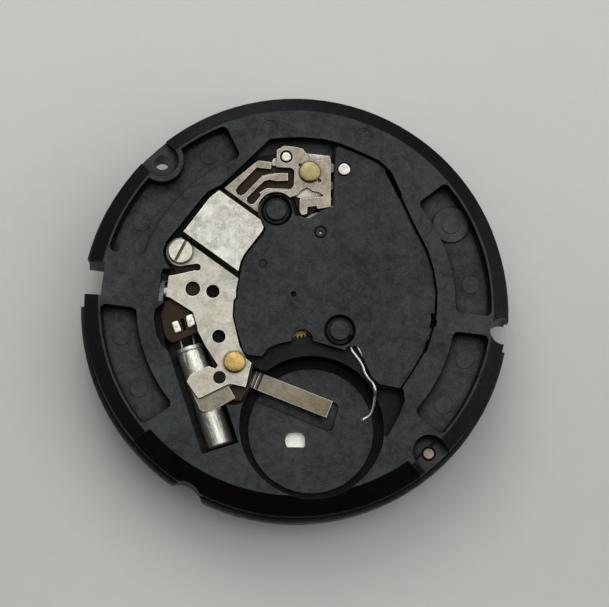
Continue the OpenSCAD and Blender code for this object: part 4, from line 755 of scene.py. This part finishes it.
def table_top(name, colour):
    """Pale smooth table, faintly mottled, with painted shade that darkens it towards one side; clear from
    below, to show the dial side.
    """
    f = Finish(name, roughness=0.62)
    n = f.n
    fine = n.noise(f.vector, 900.0, 4.0, 0.6)
    broad = n.noise(f.vector, 40.0, 3.0, 0.5)
    tone = n.plus(n.times(fine, 0.5), n.times(broad, 0.5))
    body = n.mix(n.ramp(tone, 0.3, 0.7), tint(colour, 0.975), tint(colour, 1.02))
    # Painted shade: the table darkens towards one side
    angle, start, end, share = -80.0, -2.0, 10.0, 0.12
    shade = n.ramp(f.across((0, 0), angle), start * MM, end * MM, 0.0, share)
    f.colour(n.mix(shade, body, (0.0, 0.0, 0.0)))
    f.rough(n.ramp(fine, 0.2, 0.8, 0.58, 0.68))
    f.bump(fine, 0.02 * MM)
    clear = n.add("ShaderNodeBsdfTransparent")
    sides = n.add("ShaderNodeMixShader")
    n.join(n.add("ShaderNodeNewGeometry").outputs["Backfacing"], sides.inputs[0])
    n.join(f.shader.outputs[0], sides.inputs[1])
    n.join(clear.outputs[0], sides.inputs[2])
    n.join(sides.outputs[0], f.out.inputs["Surface"])
    return f.material


# Shapes

# Place and radius of the rings on a wire's domed end, in wire radii from the end's shoulder
DOME = ((0.42, 0.9), (0.8, 0.6), (1.0, 0.12))


def dress(node, material):
    """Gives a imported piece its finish."""
    piece = frame["nodes"][node]
    if not piece.material_slots:
        raise RuntimeError(f"{node} has no material slot")
    for slot in piece.material_slots:
        slot.material = material


def body_of(node):
    return frame["nodes"][node]["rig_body"]


def mesh_object(bm, name, material):
    """Makes a mesh object from bm and puts it in the scene."""
    mesh = bpy.data.meshes.new(name)
    bm.to_mesh(mesh)
    bm.free()
    mesh.materials.append(material)
    made = bpy.data.objects.new(name, mesh)
    bpy.context.scene.collection.objects.link(made)
    return made


def place_piece(bm, name, material, slot, *nodes):
    """Makes a smooth piece from bm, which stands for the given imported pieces."""
    piece = mesh_object(bm, name, material)
    for face in piece.data.polygons:
        face.use_smooth = True
    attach(piece, body_of(nodes[0]))
    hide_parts(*nodes)
    return piece


def grow_island(start):
    """All vertices that hang together with the given ones."""
    seen, edge = set(start), list(start)
    while edge:
        vert = edge.pop()
        for link in vert.link_edges:
            other = link.other_vert(vert)
            if other not in seen:
                seen.add(other)
                edge.append(other)
    return seen


def turn_profile(bm, profile, matrix, steps):
    """Spins a profile of radius and height, in millimetres, into a closed turned shape."""
    verts = [bm.verts.new((r * MM, 0, z * MM)) for r, z in profile]
    edges = [bm.edges.new(pair) for pair in zip(verts, verts[1:])]
    bmesh.ops.spin(
        bm, geom=verts + edges, cent=(0, 0, 0), axis=(0, 0, 1), angle=2 * math.pi, steps=steps,
        use_merge=True, use_normal_flip=False, use_duplicate=False,
    )
    island = grow_island(verts)
    bmesh.ops.remove_doubles(bm, verts=list(island), dist=1e-8)
    island = [v for v in island if v.is_valid]
    bmesh.ops.recalc_face_normals(bm, faces=list({f for v in island for f in v.link_faces}))
    bmesh.ops.transform(bm, matrix=matrix, verts=island)


def arc_profile(centre, radius, low, high, steps=6):
    """Corners of a rounded edge between two angles in degrees, for a profile."""
    angles = [math.radians(low + (high - low) * i / steps) for i in range(steps + 1)]
    return [(centre[0] + radius * math.cos(a), centre[1] + radius * math.sin(a)) for a in angles]


def sweep_wire(bm, route, radius, sides):
    """Sweeps a round wire along a smooth route, with domed ends; sizes in millimetres."""
    points = smooth_route([Vector(p) * MM for p in route])
    radius = radius * MM
    rings = []
    side = None
    last = len(points) - 1
    for i, point in enumerate(points):
        ahead = (points[min(i + 1, last)] - points[max(i - 1, 0)]).normalized()
        if side is None:
            side = ahead.orthogonal().normalized()
        side = (side - ahead * side.dot(ahead)).normalized()
        matrix = Matrix((side, ahead.cross(side), ahead)).transposed().to_4x4()
        stations = [(0.0, 1.0)]
        if i == 0:
            stations = [(1 - reach, share) for reach, share in reversed(DOME)]
        elif i == last:
            stations = [(-1.0, 1.0)] + [(reach - 1, share) for reach, share in DOME]
        for shift, share in stations:
            rings.append(wire_ring(bm, matrix, point + ahead * radius * shift, radius * share, sides))
    for a, b in zip(rings, rings[1:]):
        bmesh.ops.bridge_loops(bm, edges=ring_edges(a) + ring_edges(b))
    for ring in (rings[0], rings[-1]):
        bmesh.ops.contextual_create(bm, geom=ring)
    faces = list({f for ring in rings for v in ring for f in v.link_faces})
    bmesh.ops.recalc_face_normals(bm, faces=faces)


def wire_ring(bm, matrix, centre, radius, sides):
    made = bmesh.ops.create_circle(
        bm, cap_ends=False, segments=sides, radius=radius, matrix=Matrix.Translation(centre) @ matrix
    )
    return made["verts"]


def ring_edges(ring):
    inside = set(ring)
    return list({e for v in ring for e in v.link_edges if e.other_vert(v) in inside})


def smooth_route(points, parts=5):
    """Points on a smooth curve through the given ones."""
    out = []
    for i in range(len(points) - 1):
        a, b = points[max(i - 1, 0)], points[i]
        c, d = points[i + 1], points[min(i + 2, len(points) - 1)]
        for j in range(parts):
            t = j / parts
            out.append(0.5 * (2 * b + (c - a) * t + (2 * a - 5 * b + 4 * c - d) * t * t
                              + (3 * b - a - 3 * c + d) * t * t * t))
    out.append(points[-1])
    return out


def middle(node):
    low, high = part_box(node)
    return (low + high) / 2


# Operators


class MOVEMENT_OT_stage(bpy.types.Operator):
    """Lay the table, and set up the lights and the camera"""

    bl_idname = "movement.stage"
    bl_label = "Stage"

    def execute(self, context):
        s = settings().stage
        bm = bmesh.new()
        bmesh.ops.create_grid(bm, x_segments=8, y_segments=8, size=TABLE_REACH)
        bmesh.ops.translate(bm, verts=bm.verts, vec=(0, 0, CAD_BOX[0].z - 0.01 * MM))
        table = mesh_object(bm, "table", table_top("pale table", tuple(s.table_colour)))

        world = bpy.data.worlds.new("soft room")
        world.use_nodes = True
        n = Nodes(world.node_tree)
        background = next(x for x in world.node_tree.nodes if x.type == "BACKGROUND")
        way = n.add("ShaderNodeTexCoord").outputs["Generated"]

        def along(angle, rise):
            """How far a ray goes towards an angle and a rise, both in radians."""
            flat = math.cos(rise)
            return n.dot(way, (flat * math.cos(angle), flat * math.sin(angle), math.sin(rise)))

        # A patch overhead, a belt low on two sides, the room's own light and the fill from the right
        far_side = math.pi / 2 + s.picture_turn
        patch = n.ramp(along(far_side, math.radians(72)), 0.7, 0.93)
        belt = n.ramp(n.math("ABSOLUTE", along(s.picture_turn, 0)), 0.76, 0.86)
        belt = n.times(belt, n.ramp(along(0, math.pi / 2), 0.16, 0.3))
        room = n.ramp(along(far_side, 0.5), -0.2, 0.7)
        fill = n.ramp(along(s.picture_turn, math.radians(38)), 0.74, 0.92)
        level = n.times(patch, s.overhead)
        level = n.plus(level, n.times(belt, s.sides))
        level = n.plus(level, n.times(fill, s.fill))
        level = n.plus(level, n.times(n.plus(room, 0.15), s.ambient * 2))
        n.join(n.mix(patch, (0.95, 0.98, 1.0), (1.0, 1.0, 0.985)), background.inputs["Color"])
        n.join(level, background.inputs["Strength"])
        context.scene.world = world

        light = bpy.data.lights.new("window lamp", "AREA")
        light.shape = "DISK"
        light.size = s.lamp_width
        light.energy = s.lamp_power
        light.color = (1.0, 0.99, 0.96)
        lamp = bpy.data.objects.new("window lamp", light)
        lamp.location = LAMP_PLACE
        lamp.rotation_mode = "QUATERNION"
        lamp.rotation_quaternion = (-Vector(LAMP_PLACE)).to_track_quat("-Z", "Y")
        context.scene.collection.objects.link(lamp)

        turn = Matrix.Rotation(s.picture_turn, 3, "Z")
        back = Vector(VIEW_FROM).normalized()
        right = (-back).cross(Vector((0, 1, 0))).normalized()
        up = right.cross(-back)
        data = bpy.data.cameras.new("camera")
        data.sensor_width = SENSOR_WIDTH
        data.lens = SENSOR_WIDTH * PIXELS_PER_MM * (s.camera_distance / MM) / PHOTO_WIDTH
        data.shift_x = (PHOTO_MIDDLE[0] - HANDS_AXIS[0]) / PHOTO_WIDTH
        data.shift_y = (HANDS_AXIS[1] - PHOTO_MIDDLE[1]) / PHOTO_WIDTH
        data.clip_start = 0.005
        data.clip_end = 20.0
        camera = bpy.data.objects.new("camera", data)
        place = Vector((0, 0, AIM_HEIGHT * MM)) + turn @ back * s.camera_distance
        axes = Matrix((turn @ right, turn @ up, turn @ back)).transposed()
        camera.matrix_world = Matrix.Translation(place) @ axes.to_4x4()
        context.scene.collection.objects.link(camera)
        context.scene.camera = camera

        context.scene.view_settings.view_transform = "Standard"
        return {"FINISHED"}


class MOVEMENT_OT_plate(bpy.types.Operator):
    """Finish the moulded main plate"""

    bl_idname = "movement.plate"
    bl_label = "Main plate"

    def execute(self, context):
        s = settings().plastic
        dress("main_plate", moulded_plastic(
            "plate moulding", tuple(s.plate_colour), s.roughness, s.grain_size, gloss=0.5,
            spots=EJECTOR_SPOTS, painted_shades=((WELL_GROOVE, 0.9), (POCKET_EDGE, 0.95), (SUNK_BAYS, 0.8))))
        return {"FINISHED"}


class MOVEMENT_OT_bridge(bpy.types.Operator):
    """Finish the moulded train bridge"""

    bl_idname = "movement.bridge"
    bl_label = "Train bridge"

    def execute(self, context):
        s = settings().plastic
        dress("train_bridge", moulded_plastic(
            "bridge moulding", tuple(s.bridge_colour), s.roughness - 0.04, s.grain_size * 0.8,
            dust=0.35, scratches=0.7))
        return {"FINISHED"}


class MOVEMENT_OT_board(bpy.types.Operator):
    """Finish the circuit board and its chip, and lay the solder"""

    bl_idname = "movement.board"
    bl_label = "Circuit board"

    def execute(self, context):
        s = settings().plastic
        dress("circuit_board", fibre_board("board laminate", tuple(s.board_colour)))
        dress("ic_chip", moulded_plastic(
            "chip resin", (0.012, 0.012, 0.013), 0.6, 0.06 * MM, dust=0.2, scratches=0.2))
        bm = bmesh.new()
        for pad in PADS:
            corners = [Vector((x * MM, y * MM, BOARD_TOP * MM)) for x, y in pad]
            made = bmesh.ops.create_grid(bm, x_segments=1, y_segments=1, size=1.0)
            for vert in made["verts"]:
                across, along = (vert.co.x + 1) / 2, (vert.co.y + 1) / 2
                low = corners[0].lerp(corners[1], across)
                high = corners[3].lerp(corners[2], across)
                vert.co = low.lerp(high, along)
            base = list({f for v in made["verts"] for f in v.link_faces})
            raised = bmesh.ops.extrude_face_region(bm, geom=base)["geom"]
            top = [v for v in raised if isinstance(v, bmesh.types.BMVert)]
            bmesh.ops.translate(bm, verts=top, vec=(0, 0, PAD_HEIGHT * MM))
            walls = [e for v in top for e in v.link_edges
                     if abs(e.verts[0].co.z - e.verts[1].co.z) > 0.001 * MM]
            bmesh.ops.bevel(
                bm, geom=walls, offset=PAD_ROUNDING * MM, segments=5, profile=0.5,
                affect="EDGES", material=-1)
        bmesh.ops.recalc_face_normals(bm, faces=bm.faces)
        half_height = (BOARD_TOP + 0.5 * PAD_HEIGHT) * MM
        lids = [f for f in bm.faces if f.normal.z > 0.9 and f.calc_center_median().z > half_height]
        for depth, inset in ((0.02, 0.02), (0.012, 0.03), (0.004, 0.03)):
            bmesh.ops.inset_region(bm, faces=lids, thickness=inset * MM, depth=0.0, use_even_offset=True)
            moved = list({v for f in lids for v in f.verts})
            bmesh.ops.translate(bm, verts=moved, vec=(0, 0, depth * MM))
        place_piece(bm, "solder_mounds", tinned_solder("frozen tin"), "tin", "solder_pads")
        return {"FINISHED"}


class MOVEMENT_OT_crystal(bpy.types.Operator):
    """Draw the crystal's can with its crimped cap, and finish its leads"""

    bl_idname = "movement.crystal"
    bl_label = "Crystal"

    def execute(self, context):
        s = settings()
        radius, cap = CAN_RADIUS, CAP_RADIUS
        # From the sunk face of the cap over its rim and crimp, and along the waisted can to its end
        profile = [(0, 0.02), (0.3, 0.02), (0.34, 0.0), (cap - 0.09, 0.0)]
        profile += arc_profile((cap - 0.07, 0.07), 0.07, -90, 0, 5)
        profile += arc_profile((cap - 0.03, 0.19), 0.03, 0, 80, 4)
        profile += [(radius - 0.045, 0.235), (radius - 0.045, 0.26), (radius - 0.02, 0.29)]
        profile += [(radius, 0.33), (radius, 1.2), (radius - 0.004, 2.6), (radius, 4.4)]
        profile += arc_profile((radius - 0.13, CAN_LENGTH - 0.13), 0.13, 0, 90, 8)
        profile += [(0.3, CAN_LENGTH), (0.24, CAN_LENGTH - 0.012), (0, CAN_LENGTH - 0.012)]
        place = (
            Matrix.Translation(Vector(CAN_START) * MM)
            @ Matrix.Rotation(math.radians(CAN_ANGLE), 4, "Z")
            @ Matrix.Rotation(math.radians(90), 4, "Y")
        )
        bm = bmesh.new()
        turn_profile(bm, profile, place, s.hardware.turning_steps)
        metal = drawn_can("drawn can", tuple(s.steel.can_colour))
        place_piece(bm, "crystal_can_drawn", metal, "can_metal", "crystal_can")
        dress("crystal_leads", plain_metal("tinned lead", (0.5, 0.5, 0.46), 0.3))
        return {"FINISHED"}


class MOVEMENT_OT_sheets(bpy.types.Operator):
    """Finish the stamped cover and the contact sheets"""

    bl_idname = "movement.sheets"
    bl_label = "Steel sheets"

    def execute(self, context):
        s = settings().steel
        dress("circuit_cover", stamped_steel(
            "stamped cover", tuple(s.cover_colour), s.sheet_roughness, s.patch_size,
            warm_painted_shade=((0, 0), 90, 2.4, 5.0), painted_highlight_height=2.5))
        dress("battery_contact", stamped_steel(
            "contact sheet", tuple(s.contact_colour), s.sheet_roughness + 0.05, s.patch_size * 0.8,
            warmth=0.5, warm_painted_shade=(ARM_ROOT, ARM_ANGLE, 0.6, 4.2),
            folds=(ARM_ROOT, ARM_ANGLE, -0.42, 0.2), shaded=TAB_HOLE))
        dress("upper_contact", stamped_steel(
            "upper contact sheet", tuple(s.cover_colour), s.sheet_roughness, s.patch_size * 0.6,
            warmth=0.4))
        return {"FINISHED"}


class MOVEMENT_OT_spring(bpy.types.Operator):
    """Bend the wire spring that touches the cell's side"""

    bl_idname = "movement.spring"
    bl_label = "Wire spring"

    def execute(self, context):
        bm = bmesh.new()
        sweep_wire(bm, WIRE_ROUTE, WIRE_RADIUS, sides=18)
        metal = plain_metal("drawn spring wire", (0.74, 0.73, 0.68), 0.34, 0.04)
        place_piece(bm, "side_spring_wire", metal, "spring_wire", "side_contact_spring")
        return {"FINISHED"}


class MOVEMENT_OT_fasteners(bpy.types.Operator):
    """Turn the cover screw, the brass studs and the pins"""

    bl_idname = "movement.fasteners"
    bl_label = "Screw, studs and pins"

    def execute(self, context):
        s = settings().hardware
        dress("cover_screw", turned_metal(
            "screw steel", tuple(s.screw_colour), 0.26, middle("cover_screw")))

        low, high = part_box("brass_studs")
        top, foot = high.z / MM, low.z / MM
        under = top - STUD_HEAD
        crown = s.dome / MM
        rim, shank = STUD_RADIUS, STUD_SHANK_RADIUS
        spots = (
            (low.x / MM + rim, low.y / MM + rim),
            (high.x / MM - rim, high.y / MM - rim),
        )
        # From the crowned head over its rounded rim, and down the shank to its bevelled foot
        profile = [(0, top), (0.2, top - crown * 0.1), (0.36, top - crown * 0.5)]
        profile += arc_profile((rim - 0.09, top - 0.1 - crown), 0.09, 80, 5)
        profile += [(rim, under + 0.02), (rim - 0.02, under), (shank, under)]
        profile += [(shank, foot + 0.03), (shank - 0.03, foot), (0, foot)]
        bm = bmesh.new()
        for x, y in spots:
            turn_profile(bm, profile, Matrix.Translation((x * MM, y * MM, 0)), s.turning_steps)
        for face in bm.faces:
            face.material_index = 1 if face.calc_center_median().y > 0 else 0
        low_place, high_place = [(x * MM, y * MM, 0) for x, y in spots]
        metal = turned_metal("turned brass", tuple(s.brass_colour), 0.32, low_place, 0.05, 0.8, depth=0.012)
        studs = place_piece(bm, "brass_stud_heads", metal, "brass", "brass_studs")
        studs.data.materials.append(turned_metal(
            "dull brass", tuple(s.dull_brass_colour), 0.4, high_place, 0.05, 0.4, depth=0.008))

        for node in ("cover_pin", "bridge_pin", "dial_foot_dowel"):
            low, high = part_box(node)
            centre = middle(node)
            radius = (high.x - low.x) / 2 / MM
            top, foot = high.z / MM, low.z / MM
            profile = [(0, top), (radius * 0.5, top - 0.004)]
            profile += arc_profile((radius - 0.05, top - 0.055), 0.05, 85, 0, 5)
            profile += [(radius, foot + 0.02), (radius - 0.02, foot), (0, foot)]
            bm = bmesh.new()
            turn_profile(bm, profile, Matrix.Translation((centre.x, centre.y, 0)), s.turning_steps)
            if node == "dial_foot_dowel":
                metal = turned_metal(
                    "pitted dowel steel", tuple(s.dowel_colour), 0.42, centre, tarnish=0.95, depth=0.016)
            else:
                metal = turned_metal(node.replace("_", " ") + " steel", tuple(s.pin_colour), 0.24, centre)
            place_piece(bm, node + "_turned", metal, "pin_steel", node)
        return {"FINISHED"}


class MOVEMENT_OT_motor(bpy.types.Operator):
    """Finish the stator, the coil and the rotor"""

    bl_idname = "movement.motor"
    bl_label = "Motor"

    def execute(self, context):
        s = settings().train
        dress("stator", plain_metal("annealed sheet", (0.44, 0.43, 0.4), 0.38))
        dress("coil_core", plain_metal("core sheet", (0.42, 0.41, 0.38), 0.4))
        dress("coil_winding", wound_copper("enamelled turns", tuple(s.copper_colour), s.wire_pitch))
        dress("coil_terminals", plain_metal("gilt foil", (0.68, 0.5, 0.2), 0.3))
        dress("rotor_magnet", plain_metal("sintered magnet", (0.16, 0.16, 0.17), 0.45, 0.04, 0.5))
        dress("rotor_pinion", plain_metal("rotor steel", tuple(s.pinion_colour), 0.25))
        return {"FINISHED"}


class MOVEMENT_OT_train(bpy.types.Operator):
    """Finish the wheels, pinions and hand seats"""

    bl_idname = "movement.train"
    bl_label = "Train and hand seats"

    def execute(self, context):
        s = settings().train
        for node in WHEELS:
            dress(node, turned_metal(
                node.replace("_", " ") + " brass", tuple(s.wheel_colour), 0.28, middle(node), 0.05))
        steel = plain_metal("cut pinion steel", tuple(s.pinion_colour), 0.32, sunk=True)
        for node in PINIONS:
            dress(node, steel)
        return {"FINISHED"}


class MOVEMENT_OT_setting(bpy.types.Operator):
    """Finish the setting wheels, the levers and the dial side cover"""

    bl_idname = "movement.setting"
    bl_label = "Setting parts"

    def execute(self, context):
        s = settings()
        steel = plain_metal("setting steel", tuple(s.train.pinion_colour), 0.28)
        dress("setting_wheel", steel)
        dress("clutch_wheel", steel)
        lever = plain_metal("tumbled lever steel", (0.5, 0.5, 0.49), 0.36, 0.08, 0.4)
        dress("setting_lever", lever)
        dress("yoke", lever)
        dress("dial_cover", turned_metal(
            "dial side cover steel", (0.74, 0.72, 0.66), 0.36, (0, 0, 0), 0.12, sunk=False))
        return {"FINISHED"}


OPERATORS = (
    MOVEMENT_OT_stage,
    MOVEMENT_OT_plate,
    MOVEMENT_OT_bridge,
    MOVEMENT_OT_board,
    MOVEMENT_OT_crystal,
    MOVEMENT_OT_sheets,
    MOVEMENT_OT_spring,
    MOVEMENT_OT_fasteners,
    MOVEMENT_OT_motor,
    MOVEMENT_OT_train,
    MOVEMENT_OT_setting,
)


class MOVEMENT_PT_panel(bpy.types.Panel):
    """Pieces of the movement and their settings"""

    bl_label = "Movement"
    bl_idname = "MOVEMENT_PT_panel"
    bl_space_type = "VIEW_3D"
    bl_region_type = "UI"
    bl_category = "Movement"

    def draw(self, context):
        column = self.layout.column()
        for operator in OPERATORS:
            column.operator(operator.bl_idname)
        looks = context.scene.movement_looks
        for group in (looks.plastic, looks.steel, looks.hardware, looks.train, looks.stage):
            box = self.layout.box()
            for name in group.__annotations__:
                box.prop(group, name)


CLASSES = (
    PlasticSettings,
    SteelSettings,
    HardwareSettings,
    TrainSettings,
    StageSettings,
    MovementSettings,
    *OPERATORS,
    MOVEMENT_PT_panel,
)


def register():
    for cls in CLASSES:
        bpy.utils.register_class(cls)
    bpy.types.Scene.movement_looks = PointerProperty(type=MovementSettings)


def unregister():
    del bpy.types.Scene.movement_looks
    for cls in reversed(CLASSES):
        bpy.utils.unregister_class(cls)


def main():
    register()
    bpy.ops.movement.stage()
    bpy.ops.movement.plate()
    bpy.ops.movement.bridge()
    bpy.ops.movement.board()
    bpy.ops.movement.crystal()
    bpy.ops.movement.sheets()
    bpy.ops.movement.spring()
    bpy.ops.movement.fasteners()
    bpy.ops.movement.motor()
    bpy.ops.movement.train()
    bpy.ops.movement.setting()


if __name__ == "__main__":
    main()
